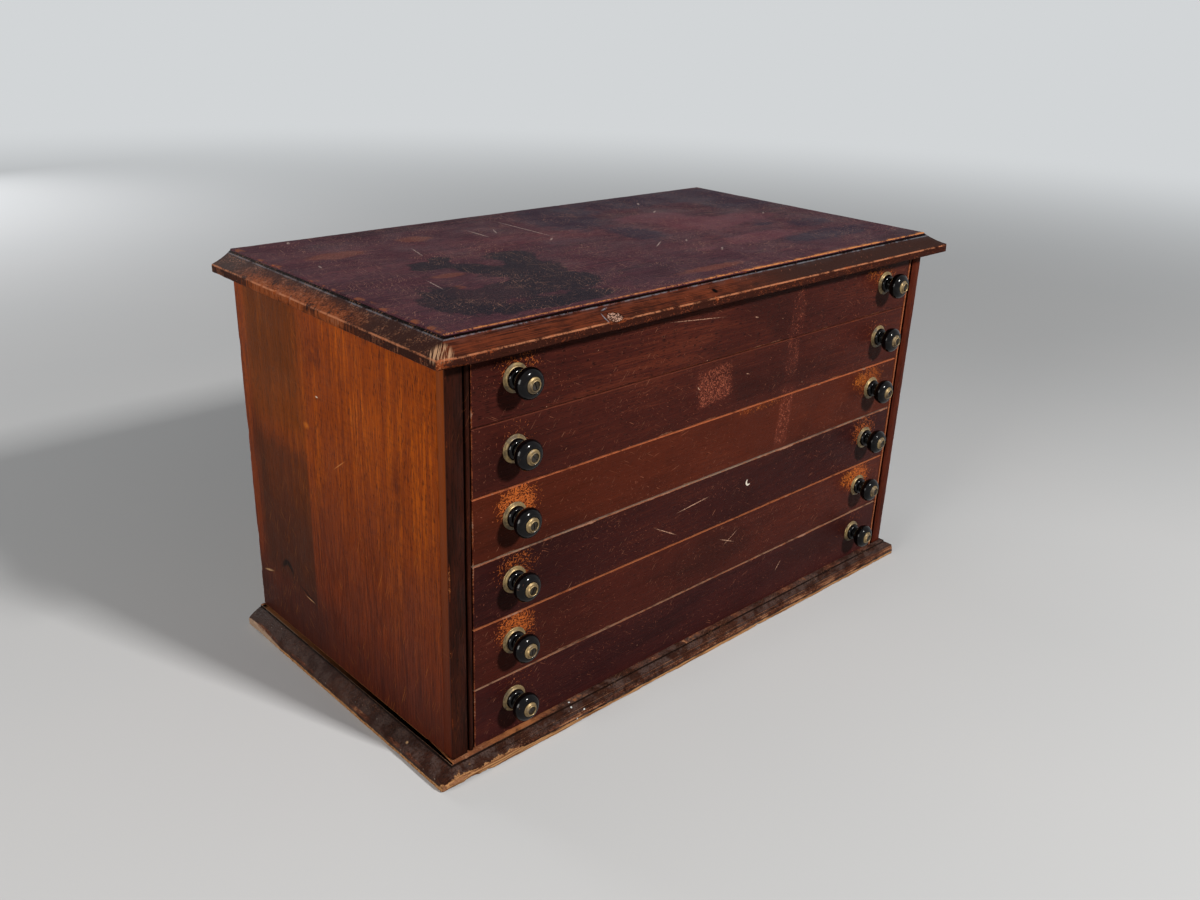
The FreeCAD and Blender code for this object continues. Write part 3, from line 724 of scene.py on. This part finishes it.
def patches(*ovals):
    """Overlapping ovals on the field, in millimetres, with one ragged outline."""
    whole = 0.0
    for x, y, wide, deep in ovals:
        whole = whole + wood.nick(Z, high.z, (x, y), (wide, deep), soft=0.8)
    return whole + (wood.blotches - 0.5) * 1.5 + (wood.specks - 0.5) * 0.5


pale = patches((120, 60, 75, 35), (200, 0, 100, 35), (140, 10, 60, 70), (150, -80, 100, 28),
               (55, -88, 25, 9))
wood.cover(pale.rise(0.3, 0.7) * 0.5, 0x643840)
warm = patches((-220, -30, 30, 12), (-235, -68, 10, 10), (-160, 110, 30, 20),
               (-260, 90, 50, 20), (0, -145, 80, 12))
wood.cover(warm.rise(0.3, 0.8) * 0.45, 0x74402e)
dim = patches((220, 140, 260, 60), (30, 100, 70, 100), (280, 70, 80, 60), (50, 0, 40, 50),
              (230, -110, 120, 30), (205, -38, 22, 14), (260, -60, 50, 30))
wood.cover(dim.rise(0.2, 0.8) * 0.72, 0x1e1929)
stain = patches((-212, 8, 32, 22), (-190, 24, 16, 14), (-186, -20, 26, 26), (-126, -4, 36, 34),
                (-150, -48, 62, 36), (-145, -95, 48, 52), (-185, -148, 85, 22),
                (-258, -105, 46, 68), (-195, -100, 50, 40))
wood.cover(stain.rise(0.2, 0.5) * 0.9, 0x0e0d17, 0.4)
thin = wood.nick(Z, high.z, (-225, -95), (40, 50)) * wood.specks.rise(0.4, 0.6)
wood.cover(stain.rise(0.3, 0.6) * thin * 0.45, 0x4a2c30)
on_field = wood.z.past(high.z, -1, -0.5)
wood.cover(wood.y.past(high.y, -0.8, -0.2), 0x2c1a13)
out, forward = abs(wood.x) - (high.x - FIELD_IN), front_edge - wood.y
shoulder = (out.past(0, -0.5, 0.5) + forward.past(0, -0.5, 0.5)).rise(0.4, 0.6)
ends = (out - forward).past(0, -0.4, 0.4) * shoulder
streaks = wood.noise((0.0015, 0.0015, 0.02))
hollow = wood.z.past(NOSING_TOP, 0, 1)
step_low = high.z - 3 * MM
wood.cover(shoulder * 0.9, 0x30180f)
rosy = (wood.clouds * 0.6 + wood.fibre * 0.5 + wood.blotches * 0.3).rise(0.62, 0.82)
wood.cover((shoulder - ends) * rosy * wood.x.rise(0.1, -0.05) * hollow * 0.75, 0x6c3420)
wood.cover(ends * 0.6, 0x2c1c18)
# Greyer on the right half of the moulding: partly its own dark finish, partly a painted sheen.
wood.cover(shoulder * wood.x.rise(-0.05, 0.1) * hollow * 0.6, 0x30221f)
chipped = (wood.specks + wood.blotches * 0.5).rise(0.86, 0.94)
wood.cover(shoulder * (1.0 - hollow) * chipped * 0.7, 0x7c3f27)
# Painted sheen: grey on the hollow just below the step.
painted_sheen = wood.z.past(high.z, -8, -3) * wood.blotches.rise(0.4, 0.7)
wood.cover(shoulder * painted_sheen * 0.55, 0x353031)
# Painted shade: the riser of the step round the field is painted near black.
painted_step_shade = wood.z.past(step_low, -0.4, 0) * wood.z.past(high.z, -0.4, -0.9)
wood.cover(shoulder * painted_step_shade * 0.95, 0x050304)
# Painted highlight: a broken pale grey-blue line along the outer edge of the step.
painted_lip_highlight = abs(wood.z - step_low + 0.4 * MM).past(0, 0.6, 0.2)
wood.cover(shoulder * painted_lip_highlight * (wood.blotches + wood.specks * 0.5).rise(0.62, 0.86) * 0.5, 0x74767e)
rubbed = wood.y.rise(-0.1, -0.04) * wood.y.rise(0.14, 0.09) * wood.z.rise(step_low, NOSING_TOP)
wood.cover(ends * rubbed * (streaks * 0.6 + wood.blotches * 0.6).rise(0.48, 0.64) * 0.75, 0x8a451f)
wood.cover(ends * streaks.rise(0.52, 0.6) * wood.blotches.rise(0.45, 0.6) * 0.5, 0x8a5c44)
mitre = wood.noise((0.02, 0.001, 0.02), centre=(low.x, low.y, 0), turn=(0, 0, 0.85))
fan = wood.mark((low.x + 6 * MM, low.y + 8 * MM, low.z + 12 * MM), (0.016, 0.014, 0.01))
wood.cover(fan * mitre.rise(0.46, 0.56) * 0.85, 0xb08a6c)
wood.cover(wood.chips(wood.blotches.rise(0.5, 0.7) * 0.15, X) * ends * 0.6, 0xa87c64)
front_chips = wood.chips(wood.blotches.rise(0.5, 0.7) * 0.12, Y)
wood.cover(front_chips * (shoulder - ends) * 0.6, 0xa0624a)
field = 1.0 - shoulder
wood.cover(wood.specks.rise(0.55, 0.75) * field * 0.35, 0x7a5258)
wood.cover(wood.specks.rise(0.45, 0.25) * field * 0.4, 0x180f16)
wood.cover(wood.chips(wood.blotches.rise(0.45, 0.75) * 0.3, Z) * field * 0.42, 0x9a7270)
for size, turn, amount, centre in (
        ((0.012, 0.0004, 1), 0.45, 0.27, (0, 0, 0)), ((0.02, 0.0005, 1), 1.35, 0.26, (2, 1, 0)),
        ((0.03, 0.0004, 1), -0.35, 0.27, (1, 3, 0)), ((0.006, 0.0005, 1), 0.9, 0.29, (4, 1, 0))):
    lines = wood.scratches(size, (0, 0, turn), amount, centre)
    wood.cover(lines * on_field * 0.55, 0xa57a6a, 0.6)
for place, size, turn in (
        ((-92, 95), (23, 1.2), 1.57), ((-37, 90), (60, 1.1), 1.6), ((70, -95), (8, 1.2), 0.7),
        ((68, -48), (6, 1.2), 0.8), ((-70, 95), (12, 1), 1.1), ((-45, 34), (8, 1.3), 0.7),
        ((152, 80), (8, 1.6), 0.6), ((170, 125), (8, 1.6), 0.9), ((-190, 60), (20, 0.9), 1.3),
        ((-293, 60), (6, 1.2), 1.3), ((30, -45), (16, 0.9), 0.6), ((-247, -50), (20, 0.8), 1.4),
        ((-270, 160), (6, 1.8), 1.2), ((258, 5), (7, 1.2), 0.7)):
    line = wood.nick(Z, high.z, place, size, turn)
    wood.cover(line * wood.specks.rise(0.42, 0.54) * on_field * 0.65, 0xc9b4aa)
wood.cover(wood.dots(0.018, 0.0007, 0.2) * 0.7, 0xc9b4a8)
wood.cover(wood.dots(0.011, 0.0009, 0.25) * 0.7, 0x120c10)
brightness = (wood.nick(Z, high.z, (160, front_edge / MM), (50, 1000), soft=0.7) * 0.25
              + wood.x.rise(-0.12, 0.0) * 0.12 + wood.blotches)
worn_line = wood.y.past(front_edge, 6, 1) * brightness.rise(0.55, 0.72)
worn_line = worn_line + wood.y.past(front_edge, 2.2, 0.8) * 0.8
wood.cover(worn_line * on_field * (wood.specks + wood.blotches).rise(0.76, 1.06) * 0.85, 0xb57546)
end_line = wood.x.rise(-0.2706, -0.318) * wood.blotches.rise(0.52, 0.62)
wood.cover(end_line * wood.x.rise(-0.316, -0.321) * on_field * 0.6, 0x8a5030)
nosing_line = abs(wood.z - NOSING_TOP + 0.3 * MM).past(0, 0.9, 0.3) * shoulder
wood.cover(nosing_line * (wood.blotches + wood.specks * 0.4).rise(0.54, 0.76) * 0.8, 0xac7050)
bare = wood.bare_edges(0x7c3b1e, 0xa86c48, 1.15)
dent = (-0.165, low.y + 4 * MM, NOSING_TOP + 2 * MM)
torn = wood.mark(dent, (0.013, 0.012, 0.006)) * 0.3 + wood.specks * 0.5 + wood.blotches * 0.2
wood.cover(torn.rise(0.56, 0.6) * 0.9, 0x150a0a)
wood.cover(torn.rise(0.64, 0.68) * 0.9, 0xb08a78)
for place, size, turn in (((-10, 0, 1), (0.8, 10, 4.5), 0.1), ((-3, 4, 5.0), (7, 10, 0.7), -0.12)):
    rim_mark = wood.mark([side + step * MM for side, step in zip(dent, place)],
                         [reach * MM for reach in size], (0, turn, 0))
    wood.cover(rim_mark * wood.specks.rise(0.35, 0.45) * 0.8, 0x80838c)
# Painted shade: a nail hole in the nosing, drawn as a black spot and not cut.
painted_hole_shade = wood.mark((-0.038, low.y + 6 * MM, NOSING_TOP + 4 * MM), (0.004, 0.01, 0.0022))
wood.cover(painted_hole_shade, 0x060404)
wood.height = wood.height + wood.blotches * 0.35 + bare * 0.2
piece_of(top, "case", wood.made(0.3, 0.008), "top_wood", "top_board")

# ---- Stiles ---------------------------------------------------------------------------
# Two upright strips cover the front edges of the sides. Each has a quirk and a bead run
# down its inner edge, against the drawers.

QUIRK_X, BEAD_X = 0.3071, 0.3034

for side, sign in (("left", -1), ("right", 1)):
    node = f"stile_{side}"
    low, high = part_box(node)
    outer, inner = (low.x, high.x) if sign < 0 else (high.x, low.x)
    strip = worn_board(node, ((X, [outer - sign * step for step in INSETS]),
                              (Y, [low.y + step for step in INSETS])), ((Z, 0.3, 1.8),),
                       ((Z, (outer, low.y), (sign, -1), 0.4, 0.8),
                        (Z, (outer, high.y), (sign, 1), 0.12, 0.3),
                        (Z, (inner + sign * 7.4 * MM, low.y), (-sign, -1), 0.15, 0.5),
                        (Z, (inner + sign * 2.4 * MM, low.y), (0, -1), 0.15, 0.5)),
                       seed=500 + 100 * sign)

    # The left stile's darker tones are painted shade and the right stile's lighter tones painted
    # light, on one walnut.
    tones = (0x170b08, 0x2e140e, 0x43200f) if side == "left" else (0x2a100b, 0x481c11, 0x5e2a18)
    wood = Wood(f"stile_walnut_{side}", Z, tones, seed=30 + sign)
    flank = wood.y.past(low.y, 1, 3) * abs(wood.x).past(CASE_RIGHT, -1.5, -0.2)
    wood.colour = wood.mix(flank * 0.85, wood.colour,
                           wood.mix(wood.z.rise(0.34, 0.02), paint(0x7c390f), paint(0x4a1d10)))
    # Painted shade: the quirk beside the bead is painted near black.
    painted_quirk_shade = abs(abs(wood.x) - QUIRK_X).past(0, 1.6, 0.8)
    wood.cover(painted_quirk_shade * 0.85, 0x0b0605)
    if side == "right":
        crest = abs(abs(wood.x) - BEAD_X).past(0, 1.8, 0.6)
        wood.cover(crest * wood.specks.rise(0.3, 0.5) * 0.8, 0xa25f3c)
    wood.cover(wood.scratches((0.0005, 1, 0.02), (0, 0.4, 0), 0.27) * 0.5, 0x8a5030)
    wood.cover(wood.dots(0.015, 0.0008, 0.2) * 0.8, 0xa4683a)
    wood.bare_edges(0x5e2a14, 0xb88450, 0.92)
    piece_of(strip, "case", wood.made(0.15, 0.05), "stile_wood", node)

# ---- Drawer boxes ---------------------------------------------------------------------
# Sides of thin pine, stopped-grooved for the runners and dovetailed half blind to the front
# and to the back, over a bottom board let in from the back. Nine round-topped pine slats
# are glued down across the bottom, and the spools stood between them.


def raw_pine(name, grain, seed):
    """Pine that was never finished, and has gone brown and dusty."""
    pine = Wood(name, grain, (0x80592f, 0xa97f4c, 0xc49c68), seed=seed, cloud=0.3, figure=0.7,
                fibre=0.35)
    pine.cover(pine.clouds.rise(0.5, 0.75) * 0.35, 0x6f4c2c)
    pine.cover(pine.blotches.rise(0.58, 0.75) * 0.35, 0x5b4430)
    pine.cover(pine.dots(0.03, 0.0009, 0.2) * 0.7, 0x3d2a1a)
    return pine.made(0.15)


side_pine, cross_pine = raw_pine("side_pine", Y, 41), raw_pine("cross_pine", X, 44)
low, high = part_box("drawer_1_dividers")
slat_low, slat_high = low.z - FRONT_LOW[0].z, high.z - FRONT_LOW[0].z
SLATS, SLAT_WIDE, SLAT_LONG, ROUND_STEPS = 9, 5.0 * MM, high.y - low.y, 12
half = SLAT_WIDE / 2
outline = [(-half, slat_low), (half, slat_low)]
for step in range(ROUND_STEPS + 1):
    turn = math.pi * step / ROUND_STEPS
    outline.append((half * math.cos(turn), slat_high - half + half * math.sin(turn)))
slat_shape = bmesh.new()
ends = [[slat_shape.verts.new((x, y, z)) for x, z in outline]
        for y in (-SLAT_LONG / 2, SLAT_LONG / 2)]
slat_shape.faces.new(ends[0])
slat_shape.faces.new(ends[1])
for step in range(len(outline)):
    slat_shape.faces.new((ends[0][step - 1], ends[0][step], ends[1][step], ends[1][step - 1]))
bmesh.ops.recalc_face_normals(slat_shape, faces=slat_shape.faces)
slat = mesh_of(slat_shape, "slat")
for number, front in zip(DRAWERS, FRONT_LOW):
    body = f"drawer_{number}"
    for part in ("side_left", "side_right", "back", "bottom"):
        node = f"{body}_{part}"
        piece_of(eased(node), body, side_pine if "side" in part else cross_pine, "drawer_wood",
                 node)
    in_rows(slat, f"{body}_slats", body, side_pine, "drawer_wood", f"{body}_dividers",
            Across=SLATS, Along=1, Width=high.x - low.x - SLAT_WIDE,
            Centre=((low.x + high.x) / 2, (low.y + high.y) / 2, front.z))

# ---- Drawer fronts --------------------------------------------------------------------
# Six walnut boards of one height, dark under old shellac that hands and keys have worn to
# orange round the knobs and along the upper edges.

FRONT_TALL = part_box("drawer_1_front")[1].z - FRONT_LOW[0].z
KNOB_X, KNOB_UP = 0.257, 0.033
UPPER_RUB = (0.15, 0.2, 0.35, 0.45, 0.3, 0.35)

wood = Wood("front_walnut", X, (0x1d0c0b, 0x3a1814, 0x52251a), seed=50, cloud=0.4, figure=0.3,
            fibre=0.4)
row = (wood.z - FRONT_LOW[-1].z) / PITCH


def on_drawer(number):
    """1 over one drawer's front, and 0 over the others."""
    return abs(row - (6.5 - number)).rise(0.52, 0.48)


for number, amount, tone in ((2, 0.2, 0x401c16), (3, 0.4, 0x582411), (4, 0.5, 0x271012),
                             (5, 0.3, 0x471d14), (6, 0.45, 0x2c1114)):
    wood.cover(on_drawer(number) * amount, tone)
for x, z, wide, tall, turn, amount in (
        (0.106, 0.33, 0.01, 0.052, 0.06, 0.5), (-0.014, 0.296, 0.024, 0.018, -0.1, 0.85),
        (0.1, 0.236, 0.01, 0.03, 0.1, 0.65)):
    place = wood.stretch((wide, 1, tall), (x, 0, z), (0, turn, 0))
    across, upward = (abs(wood.add("ShaderNodeSeparateXYZ", None, {0: place}, axis)).rise(1.3, 0.8)
                      for axis in (X, Z))
    inside = across * upward
    wood.cover(inside * wood.blotches.rise(0.35, 0.6) * 0.15, 0x74382c)
    wood.cover(wood.chips(inside * amount, Y) * inside * 0.8, 0x96523e, 0.6)


def knob_distance(finish, inboard=0.0, above=0.0, flat=1.0):
    """How far a point is from the nearest knob's axis, or from a place beside it."""
    across = abs(finish.x) - KNOB_X + inboard
    up = ((finish.z - FRONT_LOW[-1].z) % PITCH - KNOB_UP - above) * flat
    place = finish.add("ShaderNodeCombineXYZ", None, {0: across, 1: 0.0, 2: up})
    return finish.add("ShaderNodeVectorMath", {"operation": "LENGTH"}, {0: place}, "Value")


knob_near = knob_distance(wood, 3 * MM, 11 * MM, 1.25)
handled = on_drawer(3) + on_drawer(5) + on_drawer(1) * 0.5 + on_drawer(4) * 0.6 + 0.42
rubbed = wood.chips(knob_near.rise(0.036, 0.01) * handled * 0.8, Y)
wood.cover(rubbed * knob_near.rise(0.036, 0.026) * 0.9, 0xb05c2a, 0.6)
orange = 0.0
for number, place, size, soft, amount in ((5, (236, 128), (30, 18), 0.8, 1.0),
                                          (3, (236, 247), (26, 18), 0.8, 1.0),
                                          (3, (60, 257), (60, 8), 0.9, 0.7),
                                          (1, (232, 368), (22, 12), 0.8, 0.8)):
    orange = orange + on_drawer(number) * wood.nick(Y, 0, place, size, soft=soft) * amount
wood.cover(orange * wood.blotches.rise(0.45, 0.65) * 0.5, 0x7c3616, 0.6)
wood.cover(wood.chips(orange, Y) * orange.rise(0.0, 0.2) * 0.85, 0xb46428, 0.6)
darker = wood.noise((0.16, 1, 0.07), 3.0, 0.6, (3, 1, 4))
wood.cover(darker.rise(0.48, 0.68) * 0.5, 0x220e0d)
lived_in = wood.noise((0.09, 1, 0.05), 3.0).rise(0.35, 0.65) * 0.24 + 0.06
wood.cover(wood.chips(lived_in, Y) * 0.6, 0x8e5440, 0.6)
up = (wood.z - FRONT_LOW[-1].z) % PITCH
upper_line = up.past(FRONT_TALL, -0.8, -0.4)
unbroken = (wood.blotches + wood.clouds * 0.5).rise(0.55, 0.75)
for number, amount, tone in ((2, 0.3, 0x7a4232), (3, 0.85, 0xae6240), (4, 0.75, 0x96806e),
                             (5, 0.75, 0xa2603e), (6, 0.75, 0x93705a)):
    wood.cover(on_drawer(number) * upper_line * (unbroken * 0.7 + 0.3) * amount, tone, 0.7)
lower_line = on_drawer(3) * up.past(0, 1.1, 0.6) * wood.x.rise(-0.23, -0.15)
wood.cover(lower_line * (unbroken * 0.6 + 0.4) * 0.7, 0x7e6c64, 0.7)
for size, turn, amount, centre, tone in (
        ((0.014, 1, 0.0007), 0.5, 0.22, (0, 0, 0), 0x9c6048),
        ((0.02, 1, 0.0006), -0.25, 0.22, (1, 0, 2), 0x9c6048),
        ((0.01, 1, 0.0008), -0.9, 0.22, (3, 0, 1), 0xa87258),
        ((0.03, 1, 0.0005), 0.05, 0.26, (5, 0, 3), 0x1a0a08)):
    wood.cover(wood.scratches(size, (0, turn, 0), amount, centre) * 0.6, tone, 0.6)
for place, size, turn in (
        ((-45, 365), (45, 0.4), 0.1), ((40, 353), (3, 0.6), 0.2), ((-37, 297), (3, 0.8), 0.8),
        ((34, 297), (3, 0.6), 0.3), ((-32, 175.5), (28, 0.6), -0.09), ((-70, 158), (22, 0.5), 0.5),
        ((25, 117), (15, 0.5), 0.4), ((30, 119), (14, 0.4), -0.5), ((118, 55), (8, 0.6), -0.9)):
    wood.cover(wood.nick(Y, 0, place, size, turn) * wood.specks.rise(0.36, 0.5) * 0.8, 0xc49a80)
ring = wood.nick(Y, 0, (51, 176), (5, 5)) - wood.nick(Y, 0, (51.8, 176.6), (4.2, 4.2))
wood.cover(ring.rise(0.2, 0.5), 0xd8cfc0)
wood.cover(wood.dots(0.014, 0.0006, 0.25) * 0.7, 0xb28a70)
wood.cover(wood.dots(0.012, 0.0008, 0.2) * 0.8, 0x130807)
wood.bare_edges(0x7a3f24, 0x8c6a58, 0.62)
wood.cover(wood.y.past(CASE_FRONT, 1.5, 4.5) * 0.8, 0x7a5533, 0.8)
wood.height = wood.height + wood.blotches * 0.2
front_wood = wood.made(0.2, 0.05)
for number, low in zip(DRAWERS, FRONT_LOW):
    node = f"drawer_{number}_front"
    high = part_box(node)[1]
    rub = UPPER_RUB[number - 1]
    front = worn_board(node, ((X, rim(low.x, high.x)), (Z, rim(low.z, high.z)),
                              (Y, [low.y + step for step in INSETS])),
                       ((X, 0.5, 2.4), (Z, 0.04, 2.4)),
                       ((X, (low.y, high.z), (-1, 1), rub, 1.6 * rub),
                        (X, (low.y, low.z), (-1, -1), 0.35, 0.7),
                        (Z, (low.x, low.y), (-1, -1), 0.4, 0.8),
                        (Z, (high.x, low.y), (1, -1), 0.4, 0.8)), seed=1000 * number)
    piece_of(front, f"drawer_{number}", front_wood, "front_wood", node)

# ---- Knobs ----------------------------------------------------------------------------
# Two to a drawer: a ball, a collar and a flared foot turned from one piece of ebonised
# wood, between a brass rose and a brass cap. A bolt runs from the slotted screw in the cap
# to a square nut inside the front.


def bow(start, end, swell, steps=7):
    """Points of a smooth bow from one point of a profile to the next, swollen to its right."""
    (x1, y1), (x2, y2) = start, end
    middle = ((x1 + x2) / 2 + swell * (y2 - y1), (y1 + y2) / 2 - swell * (x2 - x1))
    found = []
    for step in range(1, steps + 1):
        t = step / steps
        found.append(tuple((1 - t) ** 2 * a + 2 * t * (1 - t) * b + t * t * c
                           for a, b, c in zip(start, middle, end)))
    return found


knob_profile = [(0, 1.6), (9.2, 1.6), (9.5, 2.2), (9.6, 3.0)]
for end, swell in (((6.3, 6.4), 0.35), ((6.0, 6.8), 0), ((6.0, 7.3), 0), ((6.5, 7.5), 0),
                   ((6.6, 9.7), 0.5), ((6.3, 10.0), 0), ((13.3, 16.6), 0.34), ((13.1, 19.4), 0.12),
                   ((7.4, 23.4), 0.3)):
    knob_profile += bow(knob_profile[-1], end, swell)
knob = mesh_of(turned(knob_profile + [(7.0, 23.0), (0, 23.0)], 72), "knob")

rose_profile = [(0, 0.0), (12.5, 0.0), (12.5, 0.7), (12.2, 1.0), (10.8, 1.0), (10.6, 1.1)]
rose_profile += bow((10.6, 1.1), (9.2, 2.3), 0.25) + [(0, 2.3)]
rose = mesh_of(turned(rose_profile, 72), "rose")
cap_profile = [(0, 23.0), (6.8, 23.0), (6.9, 23.4), (6.7, 23.8)]
cap_profile += bow((6.7, 23.8), (5.1, 25.2), -0.25) + bow((5.1, 25.2), (4.3, 26.1), 0.35)
cap_profile += [(3.9, 25.8), (3.8, 24.2), (0, 24.2)]
cap = mesh_of(turned(cap_profile, 64), "cap")
head = slotted(turned([(0, 24.0), (3.5, 24.0), (3.6, 24.9), (3.3, 25.3), (0, 25.4)], 40),
               0.9, 24.6, 26, 5)
nut_shape = block(9, 9, -18.5, -15)
bmesh.ops.bevel(nut_shape, geom=nut_shape.edges[:], offset=0.5 * MM, segments=2, profile=0.5,
                affect="EDGES")
nut = mesh_of(nut_shape, "nut")
bolt_profile = [(0, -19.5), (1.7, -19.5), (2.0, -19.2), (2.0, 1.6), (0, 1.6)]
bolt = mesh_of(turned(bolt_profile, 24), "bolt")

ebony = Finish("ebonised_wood")
smear = ebony.noise(0.006, 4.0, 0.7)
ebony.colour = ebony.mix(smear.rise(0.45, 0.75), paint(0x040304), paint(0x0c0807))
ebony.rough = smear * 0.14 + 0.06
ebony.height = ebony.noise((0.03, 0.0007, 0.03)) * 0.5 + smear * 0.5
ebony.cover(ebony.noise(0.003, 3.0, 0.7).rise(0.68, 0.74) * 0.6, 0x5b3a24, 0.6)
ebonised = ebony.made(0.05, 0.18)

brass = Finish("old_brass")
tarnish = brass.noise(0.008, 4.0, 0.6)
brass.colour = brass.mix(tarnish.rise(0.35, 0.68), paint(0x937c54), paint(0x463823))
# The cap's centre is painted near black: partly the screw's own dark head, partly painted shade in
# the cap's recess.
brass.cover(knob_distance(brass).past(0, 4.1, 3.7) * 0.92, 0x120e0c)
brass.rough = tarnish * 0.5 + 0.2
brass.height = tarnish
brass.put("Metallic", tarnish.rise(0.7, 0.3) * 0.8)
old_brass = brass.made(0.05)

for number, low in zip(DRAWERS, FRONT_LOW):
    body = f"drawer_{number}"
    for shape, part, finish, slot, seed, *nodes in (
            (knob, "knobs_turned", ebonised, "knob_wood", 0, f"{body}_knobs"),
            (rose, "roses", old_brass, "brass", 0, f"{body}_knob_brass"),
            (cap, "caps", old_brass, "brass", 10), (head, "cap_screws", old_brass, "brass", 20),
            (nut, "nuts", old_steel, "brass", 30), (bolt, "bolts", old_steel, "brass", 0)):
        in_rows(shape, f"{body}_{part}", body, finish, slot, *nodes, Across=2, Along=1,
                Width=2 * KNOB_X, Centre=(0, CASE_FRONT, low.z + KNOB_UP),
                Facing=(math.pi / 2, 0, 0), Turn=2 * math.pi, Seed=number + seed)

# ---- Floor, light and camera ----------------------------------------------------------
# A pale floor that runs out to a pale horizon, a soft lamp at the upper right, larger ones
# at the left and behind, and the camera.

HORIZON = paint(0xd2d5d7)
RAYS = [f"Is {kind} Ray" for kind in ("Camera", "Glossy", "Transmission")]
paper = Finish("paper")
cloudy = paper.noise(0.5, 3.0)
paper.colour = paper.mix(cloudy, paint(0xbec1c4), paint(0xc4c5c7))
paper.rough = cloudy * 0.1 + 0.7
paper.height = cloudy
seen = sum(paper.add("ShaderNodeLightPath", output=ray) for ray in RAYS)
paper.colour = paper.mix(seen, paint(0x77797c), paper.colour)
distance = paper.add("ShaderNodeVectorMath", {"operation": "LENGTH"}, {0: paper.here}, "Value")
away = seen * distance.rise(1.0, 4.5)
paper.put("Emission Color", paper.mix(away, paint(0x000000), HORIZON))
paper.put("Emission Strength", 1.0)
paper.colour = paper.mix(away, paper.colour, paint(0x000000))
ground = bmesh.new()
bmesh.ops.create_grid(ground, x_segments=1, y_segments=1, size=60.0)
floor_mesh = mesh_of(ground, "floor")
floor_mesh.materials.append(paper.made(0.2, 0.0))
in_scene("floor", floor_mesh)

room = bpy.data.worlds.new("room")
bpy.context.scene.world = room
room.use_nodes = True
rays = new_node(room.node_tree, "ShaderNodeLightPath").outputs
light = (0.06, 0.064, 0.068, 1.0)
for ray in RAYS:
    light = new_node(room.node_tree, "ShaderNodeMix", {"data_type": "RGBA"},
                     {0: rays[ray], 6: light, 7: HORIZON}).outputs[2]
put(room.node_tree, room.node_tree.nodes["Background"].inputs["Color"], light)


def soft_light(name, place, size, power, tint):
    """A square lamp that looks at the middle of the cabinet."""
    lamp = bpy.data.lights.new(name, "AREA")
    lamp.shape, lamp.size, lamp.energy, lamp.color = "SQUARE", size, power, tint
    holder = in_scene(name, lamp)
    holder.location = place
    towards = Vector((0, 0, 0.2)) - holder.location
    holder.rotation_euler = towards.to_track_quat("-Z", "Y").to_euler()


soft_light("key", (0.44, -2.67, 2.1), 0.3, 122, (1.0, 0.97, 0.93))
soft_light("fill", (-2.8, -0.4, 1.0), 1.2, 56, (1.0, 0.96, 0.9))
soft_light("rear", (-0.4, 3.0, 0.9), 1.5, 36, (1.0, 0.99, 0.98))

yaw, pitch, roll = (math.radians(angle) for angle in (43.862, 22.902, 2.167))
forward = Vector((math.sin(yaw) * math.cos(pitch), math.cos(yaw) * math.cos(pitch),
                  -math.sin(pitch)))
level = Vector((math.cos(yaw), -math.sin(yaw), 0))
upward = level.cross(forward)
right = math.cos(roll) * level + math.sin(roll) * upward
up = math.cos(roll) * upward - math.sin(roll) * level
lens = bpy.data.cameras.new("camera")
lens.sensor_width, lens.lens = 36, 32.77
camera = in_scene("camera", lens)
camera.matrix_world = Matrix.Translation((-0.7692, -0.8024, 0.638)) @ Matrix(
    (right, up, -forward)).transposed().to_4x4()
bpy.context.scene.camera = camera
bpy.context.scene.view_settings.view_transform = "Standard"
